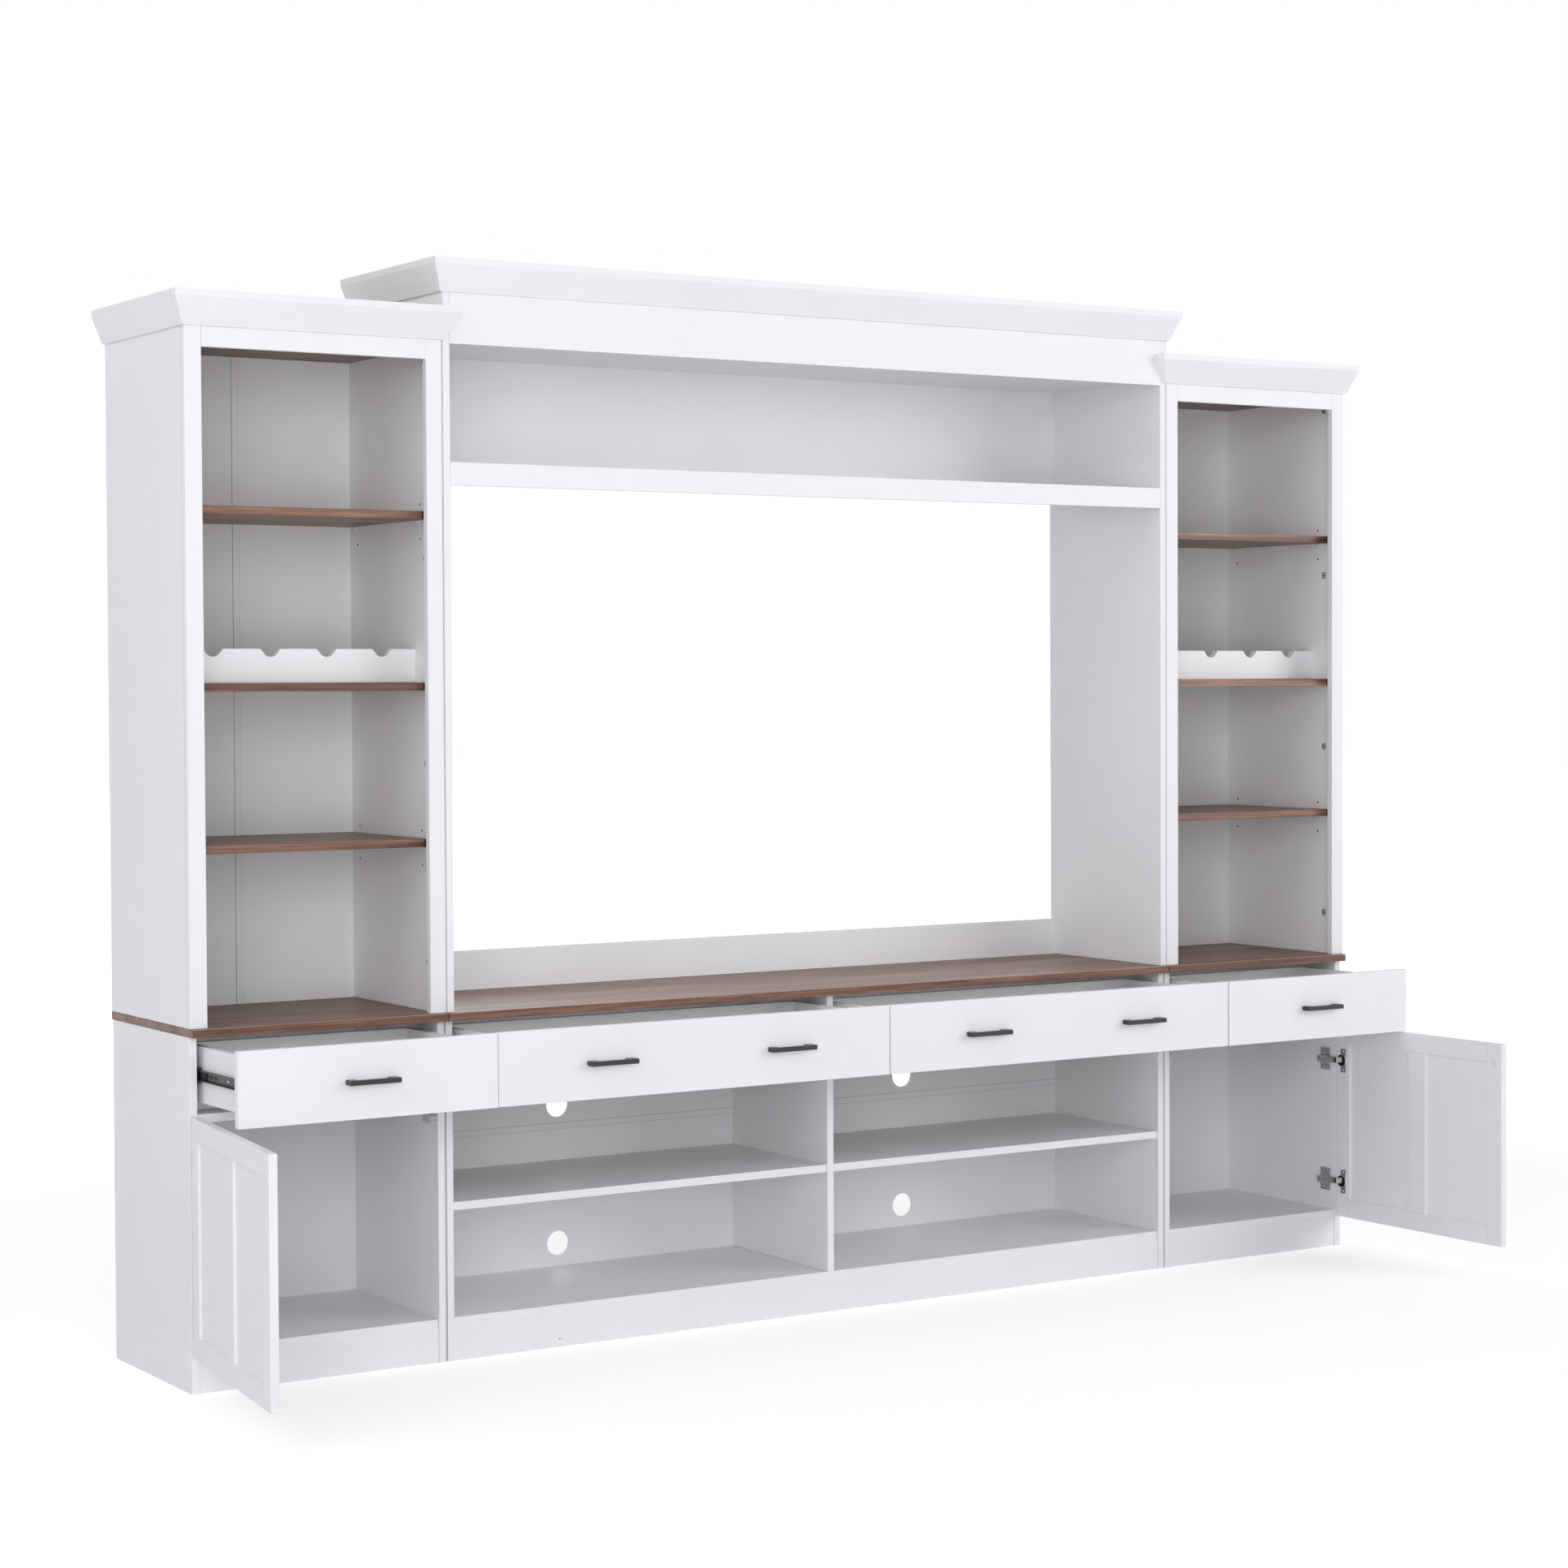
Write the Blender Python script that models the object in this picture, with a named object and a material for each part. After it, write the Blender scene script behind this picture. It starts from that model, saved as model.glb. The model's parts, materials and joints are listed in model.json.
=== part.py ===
"""An entertainment center: two towers, a low console between them and a bridge over the console.

Each tower is a base cabinet with a door and a drawer, a counter board and an open hutch with shelves
and a bottle rail. The console has two drawers over four open compartments. The bridge carries a long
cubby over the open space for a television.

Units are metres, +Z is up, +X runs along the front to the right and +Y points to the wall. The origin
is on the floor, under the middle of the console's plinth.
"""

from math import cos, pi, radians, sin

import bmesh
import bpy
from mathutils import Vector

# Boards and fits
BOARD = 0.015
BACK_BOARD = 0.005
ARRIS = 0.0006
FIT = 0.0003
OVERRUN = 0.002
BOND = 0.0004

# Widths of the three units, which stand side by side
TOWER_WIDTH = 0.500
CONSOLE_WIDTH = 1.700
UNIT_GAP = 0.001

# Base cabinets
BASE_DEPTH = 0.375
BASE_SIDE_HEIGHT = 0.635
PLINTH_HEIGHT = 0.065
PLINTH_SETBACK = 0.002
FLOOR_SETBACK = 0.004
BACK_INSET = 0.004
GROOVE_DEPTH = 0.005
RAIL_SETBACK = 0.003
RAIL_DEPTH = 0.070
CONSOLE_SHELF_RISE = 0.215
PARTITION_SETBACK = 0.001

# Cable holes in the back of the console
CABLE_HOLE_DIAMETER = 0.050
CABLE_HOLE_ABOVE_BOARD = 0.046
CABLE_HOLE_ABOVE_SHELF = 0.112

# Counter boards
COUNTER_NOSE = 0.019
COUNTER_REAR_LAP = 0.006
COUNTER_REVEAL = 0.004

# Fronts: doors and drawer fronts lie over the carcass
FRONT_REVEAL = 0.0015
FRONT_STANDOFF = 0.002
FRONT_GAP = 0.003

# Doors: a frame with two sunk panels
DOOR_STILE = 0.041
DOOR_RAIL = 0.040
DOOR_CENTRE_STILE = 0.050
DOOR_PANEL = 0.005
DOOR_SHOWN_DEGREES = {"left": 97.4, "right": 91.5}

# Concealed hinges: a cup bored into the door, and an arm on a plate on the cabinet side
HINGE_FROM_DOOR_END = 0.0785
PIVOT_INSET = 0.0055
PIVOT_ABOVE_CUP_FLOOR = 0.003
CUP_DIAMETER = 0.026
CUP_FLOOR = 0.003
CUP_INSET = 0.0165
CUP_SIDES = 28
CUP_SLOT_WALL = 0.0025
CUP_RIM_DIAMETER = 0.0275
CUP_RIM_THICKNESS = 0.0007
CUP_FLANGE_OFFSET = 0.006
CUP_FLANGE_WIDTH = 0.0145
CUP_FLANGE_HEIGHT = 0.052
CUP_FLANGE_THICKNESS = 0.001
ARM_SHEET = 0.002
ARM_HEIGHT = 0.012
ARM_REACH = 0.0123
ARM_DIP = 0.0009
ARM_RISE = 0.0205
ARM_BEND_START = 0.012
ARM_BEND_END = 0.020
ARM_KNUCKLE_RADIUS = 0.002
ARM_KNUCKLE_SIDES = 12
CHANNEL_HEIGHT = 0.016
CHANNEL_WALL = 0.0015
CHANNEL_LENGTH = 0.035
PLATE_SETBACK = 0.014
PLATE_LENGTH = 0.031
PLATE_HEIGHT = 0.050
PLATE_THICKNESS = 0.002
PLATE_SLOT_WIDTH = 0.004
PLATE_SLOT_LENGTH = 0.007
PLATE_SLOT_EDGE = 0.0035
PLATE_SLOT_SPACING = 0.013

# Magnetic door catches, on the inner side of each tower
CATCH_FROM_DOOR_TOP = 0.041
CATCH_TALL = 0.014
CATCH_PROJECTION = 0.014
CATCH_LENGTH = 0.038
CATCH_SETBACK = 0.003
CATCH_CHAMFER = 0.0015
CATCH_SCREW_DIAMETER = 0.006
CATCH_SCREW_DEPTH = 0.004
POLE_THICKNESS = 0.0016
POLE_SPACING = 0.007
POLE_WIDTH = 0.010
STRIKE_SIZE = 0.015
STRIKE_THICKNESS = 0.0015
STRIKE_GAP = 0.0005

# Drawers
DRAWER_FRONT_HEIGHT = 0.134
DRAWER_SIDE = 0.012
DRAWER_BOX_DROP = 0.0145
DRAWER_BOX_LIFT = 0.0195
DRAWER_BACK_INSET = 0.004
DRAWER_BOTTOM = 0.005
DRAWER_BOTTOM_LIFT = 0.010
DRAWER_SHOWN = {"left_tower": 0.202, "left_console": 0.197, "right_console": 0.197, "right_tower": 0.197}

# Drawer slides: an outer member on the carcass holds an inner member on the drawer
SLIDE_SPACE = 0.0125
SLIDE_SHEET = 0.0012
SLIDE_SETBACK = 0.003
SLIDE_REAR_ROOM = 0.063
SLIDE_OUTER_TALL = 0.027
SLIDE_OUTER_PLAY = 0.002
SLIDE_INNER_TALL = 0.018
SLIDE_INNER_PLAY = 0.003
BALL_ROW_LENGTH = 0.060
BALL_ROW_SETBACK = 0.008
BALL_ROW_WIDTH = 0.005

# Bar handles
HANDLE_LENGTH = 0.098
HANDLE_TALL = 0.009
HANDLE_PROJECTION = 0.022
HANDLE_BAR = 0.008
HANDLE_FOOT = 0.018
HANDLE_FOOT_TAPER = 0.002
HANDLE_ARRIS = 0.0008
CONSOLE_HANDLE_OFFSET = 0.1945

# Hutches on the towers
HUTCH_SETBACK = 0.006
HUTCH_REAR_INSET = 0.001
HUTCH_BACK_INSET = 0.0095
STILE_WIDTH = 0.032
HUTCH_SIDE_HEIGHT = 1.2844
ROOF_DROP = 0.057
TOP_RAIL_HEIGHT = 0.081
SHELF_SETBACK = 0.021
SHELF_PLAY = 0.0008
RACK_SHELF_RISE = 0.6104

# Shelf pins: holes at one pitch, with the pins in the middle hole of each row
PIN_DIAMETER = 0.005
PIN_PITCH = 0.032
PIN_HOLE_DEPTH = 0.010
PIN_PROJECTION = 0.008
PIN_SIDES = 8
PIN_FRONT = 0.057
PIN_FROM_BACK = 0.0335
UPPER_PIN_DROP = 0.376
LOWER_PIN_RISE = 0.3034

# Bottle rail
BOTTLE_RAIL_SETBACK = 0.0775
BOTTLE_RAIL_HEIGHT = 0.062
BOTTLE_END = 0.0687
BOTTLE_COUNT = 4
NOTCH_RADIUS = 0.016
NOTCH_DEPTH = 0.015
NOTCH_DEGREES = 52
NOTCH_STEPS = 8

# Crowns: a sloped board with an upright edge on top
CROWN_SLOPE_HEIGHT = 0.049
CROWN_EDGE_HEIGHT = 0.012
CROWN_FOOT = 0.005
CROWN_PROJECTION = 0.025
CROWN_LAP = 0.045

# Bridge, which stands taller than the hutches
BRIDGE_RISE = 0.089
BRIDGE_FASCIA_HEIGHT = 0.139
BRIDGE_ROOF_DROP = 0.126
BRIDGE_SHELF_DROP = 0.357
BRIDGE_SHELF_FASCIA = 0.042
LOW_RAIL_HEIGHT = 0.078

# Places that follow from the sizes
FRONT = -(PLINTH_SETBACK + BOARD / 2)
HALF_CONSOLE = CONSOLE_WIDTH / 2
HALF_WIDTH = HALF_CONSOLE + UNIT_GAP + TOWER_WIDTH
FLOOR_TOP = PLINTH_HEIGHT + BOARD
BASE_BACK_FACE = BASE_DEPTH - BACK_INSET - BACK_BOARD
COUNTER_UNDERSIDE = BASE_SIDE_HEIGHT + FIT
COUNTER_TOP = COUNTER_UNDERSIDE + BOARD
COUNTER_REAR = BASE_DEPTH + COUNTER_REAR_LAP
CONSOLE_SHELF_TOP = FLOOR_TOP + CONSOLE_SHELF_RISE

DRAWER_FRONT_TOP = BASE_SIDE_HEIGHT - COUNTER_REVEAL
DRAWER_FRONT_BOTTOM = DRAWER_FRONT_TOP - DRAWER_FRONT_HEIGHT
DRAWER_RAIL_TOP = DRAWER_FRONT_BOTTOM
DRAWER_BOX_BOTTOM = DRAWER_FRONT_BOTTOM + DRAWER_BOX_LIFT
DRAWER_BOX_TOP = DRAWER_FRONT_TOP - DRAWER_BOX_DROP
SLIDE_HEIGHT = (DRAWER_BOX_BOTTOM + DRAWER_BOX_TOP) / 2
SLIDE_LENGTH = BASE_BACK_FACE - SLIDE_SETBACK - SLIDE_REAR_ROOM
SLIDE_OUTER_DEEP = SLIDE_SPACE - SLIDE_OUTER_PLAY
SLIDE_INNER_DEEP = SLIDE_SPACE - SLIDE_INNER_PLAY
DRAWER_DEPTH = SLIDE_LENGTH

DOOR_WIDTH = TOWER_WIDTH - 2 * FRONT_REVEAL
DOOR_BOTTOM = PLINTH_HEIGHT + FRONT_GAP
DOOR_TOP = DRAWER_FRONT_BOTTOM - FRONT_GAP
HINGE_LOWER_HEIGHT = DOOR_BOTTOM + HINGE_FROM_DOOR_END
HINGE_UPPER_HEIGHT = DOOR_TOP - HINGE_FROM_DOOR_END
CUP_DEPTH = BOARD - CUP_FLOOR
PIVOT_DEPTH = CUP_DEPTH - PIVOT_ABOVE_CUP_FLOOR
HINGE_AXIS_Y = FRONT - FRONT_STANDOFF - PIVOT_DEPTH
CATCH_HEIGHT = DOOR_TOP - CATCH_FROM_DOOR_TOP

HUTCH_BOTTOM = COUNTER_TOP + FIT
HUTCH_TOP = HUTCH_BOTTOM + HUTCH_SIDE_HEIGHT
HUTCH_REAR = COUNTER_REAR - HUTCH_REAR_INSET
HUTCH_BACK_FACE = HUTCH_REAR - HUTCH_BACK_INSET - BACK_BOARD
HUTCH_FACE = HUTCH_SETBACK - BOARD
ROOF_UNDERSIDE = HUTCH_TOP - ROOF_DROP
TOP_RAIL_UNDERSIDE = HUTCH_TOP - TOP_RAIL_HEIGHT
RACK_SHELF_TOP = HUTCH_BOTTOM + RACK_SHELF_RISE
PIN_REAR = HUTCH_BACK_FACE - PIN_FROM_BACK
UPPER_PIN_HEIGHT = HUTCH_TOP - UPPER_PIN_DROP
LOWER_PIN_HEIGHT = HUTCH_BOTTOM + LOWER_PIN_RISE
UPPER_SHELF_UNDERSIDE = UPPER_PIN_HEIGHT + PIN_DIAMETER / 2 + FIT
LOWER_SHELF_UNDERSIDE = LOWER_PIN_HEIGHT + PIN_DIAMETER / 2 + FIT

BRIDGE_TOP = HUTCH_TOP + BRIDGE_RISE
BRIDGE_FASCIA_BOTTOM = BRIDGE_TOP - BRIDGE_FASCIA_HEIGHT
BRIDGE_ROOF_UNDERSIDE = BRIDGE_TOP - BRIDGE_ROOF_DROP
BRIDGE_SHELF_TOP = BRIDGE_TOP - BRIDGE_SHELF_DROP
TOWER_CROWN_BOTTOM = HUTCH_TOP - CROWN_LAP
BRIDGE_CROWN_BOTTOM = BRIDGE_TOP - CROWN_LAP
SIDE_SIGNS = {"left": -1, "right": 1}


def clear_scene():
    for obj in list(bpy.data.objects):
        bpy.data.objects.remove(obj)


def make_material(name, colour, roughness, metallic):
    material = bpy.data.materials.new(name)
    material.use_nodes = True
    shader = material.node_tree.nodes["Principled BSDF"]
    shader.inputs["Base Color"].default_value = (*colour, 1)
    shader.inputs["Roughness"].default_value = roughness
    shader.inputs["Metallic"].default_value = metallic
    return material


def make_materials():
    return {
        "white": make_material("white_laminate", (0.86, 0.86, 0.87), 0.45, 0),
        "walnut": make_material("walnut_laminate", (0.25, 0.12, 0.07), 0.5, 0),
        "black": make_material("black_metal", (0.02, 0.02, 0.022), 0.4, 1),
        "nickel": make_material("nickel_plate", (0.6, 0.6, 0.6), 0.25, 1),
        "plastic": make_material("white_plastic", (0.75, 0.75, 0.75), 0.5, 0),
    }


def add_object(name, mesh, finish, parent):
    """Adds a mesh made in its parent's frame, with the object's origin moved to the mesh's middle."""
    points = [vertex.co for vertex in mesh.vertices]
    low = Vector([min(point[axis] for point in points) for axis in range(3)])
    high = Vector([max(point[axis] for point in points) for axis in range(3)])
    middle = (low + high) / 2
    for vertex in mesh.vertices:
        vertex.co -= middle
    obj = bpy.data.objects.new(name, mesh)
    obj.location = middle
    obj.parent = parent
    if finish:
        mesh.materials.append(finish)
    bpy.context.scene.collection.objects.link(obj)
    return obj


def mesh_from(name, bm):
    bmesh.ops.recalc_face_normals(bm, faces=bm.faces)
    mesh = bpy.data.meshes.new(name)
    bm.to_mesh(mesh)
    bm.free()
    return mesh


def prism(name, outline, axis, start, end, finish=None, parent=None):
    """An outline extruded from start to end along an axis. The outline gives the other two axes in order."""
    bm = bmesh.new()
    corners = []
    for first, second in outline:
        place = [first, second]
        place.insert(axis, start)
        corners.append(bm.verts.new(place))
    face = bm.faces.new(corners)
    extruded = bmesh.ops.extrude_face_region(bm, geom=[face])
    moved = [item for item in extruded["geom"] if isinstance(item, bmesh.types.BMVert)]
    travel = Vector((0, 0, 0))
    travel[axis] = end - start
    bmesh.ops.translate(bm, verts=moved, vec=travel)
    return add_object(name, mesh_from(name, bm), finish, parent)


def block(name, x, y, z, finish=None, parent=None):
    """A box between the two ends given on each axis."""
    outline = [(min(x), min(y)), (max(x), min(y)), (max(x), max(y)), (min(x), max(y))]
    return prism(name, outline, 2, min(z), max(z), finish, parent)


def cylinder(name, axis, centre, radius, start, end, sides, finish=None, parent=None):
    turn = 2 * pi / sides
    outline = []
    for step in range(sides):
        angle = (step + 0.5) * turn
        outline.append((centre[0] + radius * cos(angle), centre[1] + radius * sin(angle)))
    return prism(name, outline, axis, start, end, finish, parent)


def soften(obj, width=ARRIS):
    bevel = obj.modifiers.new("arris", "BEVEL")
    bevel.width = width
    bevel.segments = 1
    bevel.limit_method = "ANGLE"
    return obj


def combine(target, tool, operation):
    tool.hide_render = True
    tool.display_type = "WIRE"
    boolean = target.modifiers.new(operation.lower(), "BOOLEAN")
    boolean.operation = operation
    boolean.object = tool


def cut(target, tool):
    combine(target, tool, "DIFFERENCE")


def fuse(target, tool):
    combine(target, tool, "UNION")


def deep(start, end):
    """Places along Y, from depths behind the front edges of the base sides."""
    return (FRONT + start, FRONT + end)


def tower_x(sign, start, end):
    """Places along X, from distances inward of a tower's outer face."""
    return sorted((sign * (HALF_WIDTH - start), sign * (HALF_WIDTH - end)))


def channel_outline(face, away, deep_size, tall, sheet, height):
    """A C section whose web lies on a face at X and whose flanges point away from it."""
    root = face - away * BOND
    tip = face + away * deep_size
    inside = face + away * sheet
    low = height - tall / 2
    high = height + tall / 2
    return [
        (root, low),
        (tip, low),
        (tip, low + sheet),
        (inside, low + sheet),
        (inside, high - sheet),
        (tip, high - sheet),
        (tip, high),
        (root, high),
    ]


def add_outer_slide(target, name, face, away):
    """The carcass member of a drawer slide, with the two ball rows that carry the drawer member."""
    outline = channel_outline(face, away, SLIDE_OUTER_DEEP, SLIDE_OUTER_TALL, SLIDE_SHEET, SLIDE_HEIGHT)
    start, end = deep(SLIDE_SETBACK, SLIDE_SETBACK + SLIDE_LENGTH)
    fuse(target, prism(name + "_channel", outline, 1, start, end))
    row_start, row_end = deep(BALL_ROW_SETBACK, BALL_ROW_SETBACK + BALL_ROW_LENGTH)
    middle = face + away * (SLIDE_OUTER_DEEP - BALL_ROW_WIDTH / 2 - SLIDE_SHEET)
    row_x = (middle - BALL_ROW_WIDTH / 2, middle + BALL_ROW_WIDTH / 2)
    for level, up in (("upper", 1), ("lower", -1)):
        inner = SLIDE_HEIGHT + up * (SLIDE_INNER_TALL / 2 + FIT)
        outer = SLIDE_HEIGHT + up * (SLIDE_OUTER_TALL / 2 - SLIDE_SHEET / 2)
        fuse(target, block(f"{name}_{level}_balls", row_x, (row_start, row_end), (inner, outer)))


def add_back_groove(target, name, face, into, back_face, low, high):
    """A groove down a side board's inner face, for the edge of the thin back board."""
    x = (face - into * OVERRUN, face + into * GROOVE_DEPTH)
    y = deep(back_face - FIT, back_face + BACK_BOARD + FIT)
    cut(target, block(name + "_groove", x, y, (low - OVERRUN, high + OVERRUN)))


def floor_outline(back_face):
    """The section of a floor board with the plinth under its front edge."""
    plinth_front, plinth_rear = deep(PLINTH_SETBACK, PLINTH_SETBACK + BOARD)
    floor_front, floor_rear = deep(FLOOR_SETBACK, back_face - FIT)
    return [
        (plinth_front, 0),
        (plinth_rear, 0),
        (plinth_rear, PLINTH_HEIGHT),
        (floor_rear, PLINTH_HEIGHT),
        (floor_rear, FLOOR_TOP),
        (floor_front, FLOOR_TOP),
        (floor_front, PLINTH_HEIGHT),
        (plinth_front, PLINTH_HEIGHT),
    ]


def base_side(name, outer_face, into, finish):
    """A side board of a base cabinet. Its inner face looks along into, and carries a slide."""
    inner_face = outer_face + into * BOARD
    side = block(name, (outer_face, inner_face), deep(0, BASE_DEPTH), (0, BASE_SIDE_HEIGHT), finish)
    soften(side)
    add_back_groove(side, name, inner_face, -into, BASE_BACK_FACE, 0, BASE_SIDE_HEIGHT)
    add_outer_slide(side, name + "_slide", inner_face, into)
    return side


def base_back(name, x, finish):
    z = (PLINTH_HEIGHT, BASE_SIDE_HEIGHT)
    return block(name, x, deep(BASE_BACK_FACE, BASE_BACK_FACE + BACK_BOARD), z, finish)


def counter(name, x, finish):
    board = block(name, x, deep(-COUNTER_NOSE, COUNTER_REAR), (COUNTER_UNDERSIDE, COUNTER_TOP), finish)
    return soften(board)


def build_tower_base(side, sign, finishes):
    white = finishes["white"]
    clear = BOARD + FIT
    base_side(f"{side}_base_outer_side", sign * HALF_WIDTH, -sign, white)
    inner = base_side(f"{side}_base_inner_side", sign * (HALF_WIDTH - TOWER_WIDTH), sign, white)
    rail_x = tower_x(sign, clear, TOWER_WIDTH - BOARD + BOND)
    rail_z = (DRAWER_RAIL_TOP - BOARD, DRAWER_RAIL_TOP)
    fuse(inner, block(f"{side}_rail", rail_x, deep(RAIL_SETBACK, RAIL_SETBACK + RAIL_DEPTH), rail_z))
    floor_x = tower_x(sign, clear, TOWER_WIDTH - clear)
    soften(prism(f"{side}_base_floor", floor_outline(BASE_BACK_FACE), 0, *floor_x, white))
    seat = BOARD - GROOVE_DEPTH + FIT
    base_back(f"{side}_base_back", tower_x(sign, seat, TOWER_WIDTH - seat), white)
    counter(f"{side}_counter", tower_x(sign, 0, TOWER_WIDTH), finishes["walnut"])


def build_console(finishes):
    white = finishes["white"]
    clear = HALF_CONSOLE - BOARD - FIT
    for side, sign in SIDE_SIGNS.items():
        base_side(f"console_{side}_side", sign * HALF_CONSOLE, -sign, white)
    floor = prism("console_floor", floor_outline(BASE_BACK_FACE), 0, -clear, clear, white)
    soften(floor)
    counter("console_counter", (-HALF_CONSOLE, HALF_CONSOLE), finishes["walnut"])
    build_partition(clear, white)
    build_console_back(white)


def build_partition(clear, finish):
    """The middle partition with a shelf on either hand."""
    y = deep(PARTITION_SETBACK, BASE_BACK_FACE - FIT)
    z = (FLOOR_TOP + FIT, BASE_SIDE_HEIGHT)
    partition = block("console_partition", (-BOARD / 2, BOARD / 2), y, z, finish)
    soften(partition)
    for side, sign in SIDE_SIGNS.items():
        face = sign * BOARD / 2
        shelf_z = (CONSOLE_SHELF_TOP - BOARD, CONSOLE_SHELF_TOP)
        shelf_y = deep(FLOOR_SETBACK, BASE_BACK_FACE - FIT)
        shelf = block(f"{side}_console_shelf", (face - sign * BOND, sign * clear), shelf_y, shelf_z)
        fuse(partition, shelf)
        add_outer_slide(partition, f"partition_{side}_slide", face, sign)


def build_console_back(finish):
    seat = HALF_CONSOLE - BOARD + GROOVE_DEPTH - FIT
    back = base_back("console_back", (-seat, seat), finish)
    bay_middle = (HALF_CONSOLE - BOARD + BOARD / 2) / 2
    start, end = deep(BASE_BACK_FACE - OVERRUN, BASE_BACK_FACE + BACK_BOARD + OVERRUN)
    heights = (FLOOR_TOP + CABLE_HOLE_ABOVE_BOARD, CONSOLE_SHELF_TOP + CABLE_HOLE_ABOVE_SHELF)
    for side, sign in SIDE_SIGNS.items():
        for level, height in zip(("lower", "upper"), heights):
            centre = (sign * bay_middle, height)
            hole = cylinder(f"{side}_{level}_hole", 1, centre, CABLE_HOLE_DIAMETER / 2, start, end, CUP_SIDES)
            cut(back, hole)


def hutch_side(name, outer_face, into, finish):
    """A hutch side board with the stile on its front edge, its pin holes and its shelf pins."""
    inner_face = outer_face + into * BOARD
    stile_edge = outer_face + into * STILE_WIDTH
    stile_front, stile_rear = deep(HUTCH_FACE, HUTCH_SETBACK)
    rear = FRONT + HUTCH_REAR
    outline = [
        (outer_face, stile_front),
        (stile_edge, stile_front),
        (stile_edge, stile_rear),
        (inner_face, stile_rear),
        (inner_face, rear),
        (outer_face, rear),
    ]
    side = soften(prism(name, outline, 2, HUTCH_BOTTOM, HUTCH_TOP, finish))
    add_back_groove(side, name, inner_face, -into, HUTCH_BACK_FACE, HUTCH_BOTTOM, HUTCH_TOP)
    for depth_name, depth in (("front", PIN_FRONT), ("rear", PIN_REAR)):
        for row_name, height in (("upper", UPPER_PIN_HEIGHT), ("lower", LOWER_PIN_HEIGHT)):
            add_pin_column(side, f"{name}_{depth_name}_{row_name}", inner_face, into, depth, height)
    return side


def add_pin_column(side, name, face, into, depth, height):
    """A free hole above and below, and between them a pin that carries the shelf."""
    y = FRONT + depth
    radius = PIN_DIAMETER / 2
    ends = (face - into * PIN_HOLE_DEPTH, face + into * PIN_PROJECTION)
    fuse(side, cylinder(f"{name}_pin", 0, (y, height), radius, *ends, PIN_SIDES))
    for step in (-1, 1):
        centre = (y, height + step * PIN_PITCH)
        ends = (face + into * OVERRUN, face - into * PIN_HOLE_DEPTH)
        cut(side, cylinder(f"{name}_hole_{step}", 0, centre, radius, *ends, PIN_SIDES))


def bottle_rail(name, middle, half_width, finish):
    """An upright rail on the rack shelf, with round notches with sloped shoulders for bottle necks."""
    low = RACK_SHELF_TOP + FIT
    high = low + BOTTLE_RAIL_HEIGHT
    front, rear = deep(BOTTLE_RAIL_SETBACK, BOTTLE_RAIL_SETBACK + BOARD)
    rail = block(name, (middle - half_width, middle + half_width), (front, rear), (low, high), finish)
    soften(rail)
    reach = radians(NOTCH_DEGREES)
    pitch = 2 * (half_width - BOTTLE_END) / (BOTTLE_COUNT - 1)
    shoulder_height = NOTCH_DEPTH + OVERRUN - NOTCH_RADIUS * (1 - cos(reach))
    shoulder = NOTCH_RADIUS * sin(reach) + shoulder_height * cos(reach) / sin(reach)
    for number in range(BOTTLE_COUNT):
        centre = middle - half_width + BOTTLE_END + number * pitch
        outline = [(centre + shoulder, high + OVERRUN), (centre - shoulder, high + OVERRUN)]
        for step in range(NOTCH_STEPS + 1):
            angle = -reach + 2 * reach * step / NOTCH_STEPS
            level = high - NOTCH_DEPTH + NOTCH_RADIUS * (1 - cos(angle))
            outline.append((centre + NOTCH_RADIUS * sin(angle), level))
        cut(rail, prism(f"{name}_notch_{number}", outline, 1, front - OVERRUN, rear + OVERRUN))
    return rail


def crown(name, x, ends, bottom, finish):
    """A crown swept along the left return, the front and the right return, mitred at the corners.

    x gives the two faces that it goes round, and ends gives where each return stops.
    """
    slope_top = bottom + CROWN_SLOPE_HEIGHT
    top = slope_top + CROWN_EDGE_HEIGHT
    inner = CROWN_PROJECTION - BOARD
    run = CROWN_PROJECTION - CROWN_FOOT
    inner_foot = slope_top - (inner - FIT) * CROWN_SLOPE_HEIGHT / run
    section = [
        (FIT, bottom),
        (CROWN_FOOT, bottom),
        (CROWN_PROJECTION, slope_top),
        (CROWN_PROJECTION, top),
        (inner, top),
        (inner, slope_top),
        (FIT, inner_foot),
    ]
    left, right = x
    left_end, right_end = ends
    front = FRONT + HUTCH_FACE
    stations = [(left, -1, left_end), (left, -1, None), (right, 1, None), (right, 1, right_end)]
    bm = bmesh.new()
    rings = []
    for face, way, end in stations:
        ring = []
        for out, height in section:
            along = front - out if end is None else end
            ring.append(bm.verts.new((face + way * out, along, height)))
        rings.append(ring)
    count = len(section)
    for first, second in zip(rings, rings[1:]):
        for index in range(count):
            following = (index + 1) % count
            bm.faces.new((first[index], first[following], second[following], second[index]))
    bm.faces.new(rings[0])
    bm.faces.new(list(reversed(rings[-1])))
    return add_object(name, mesh_from(name, bm), finish, None)


def add_fascia(target, name, x, low, high, crown_bottom):
    """A rail between the stiles, bonded to the back of the crown above its lower edge."""
    front, rear = deep(HUTCH_FACE, HUTCH_SETBACK)
    bonded = front - FIT - BOND
    outline = [
        (rear, low),
        (rear, high),
        (bonded, high),
        (bonded, crown_bottom + BOND),
        (front, crown_bottom + BOND),
        (front, low),
    ]
    fuse(target, prism(name, outline, 0, *x))


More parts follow.
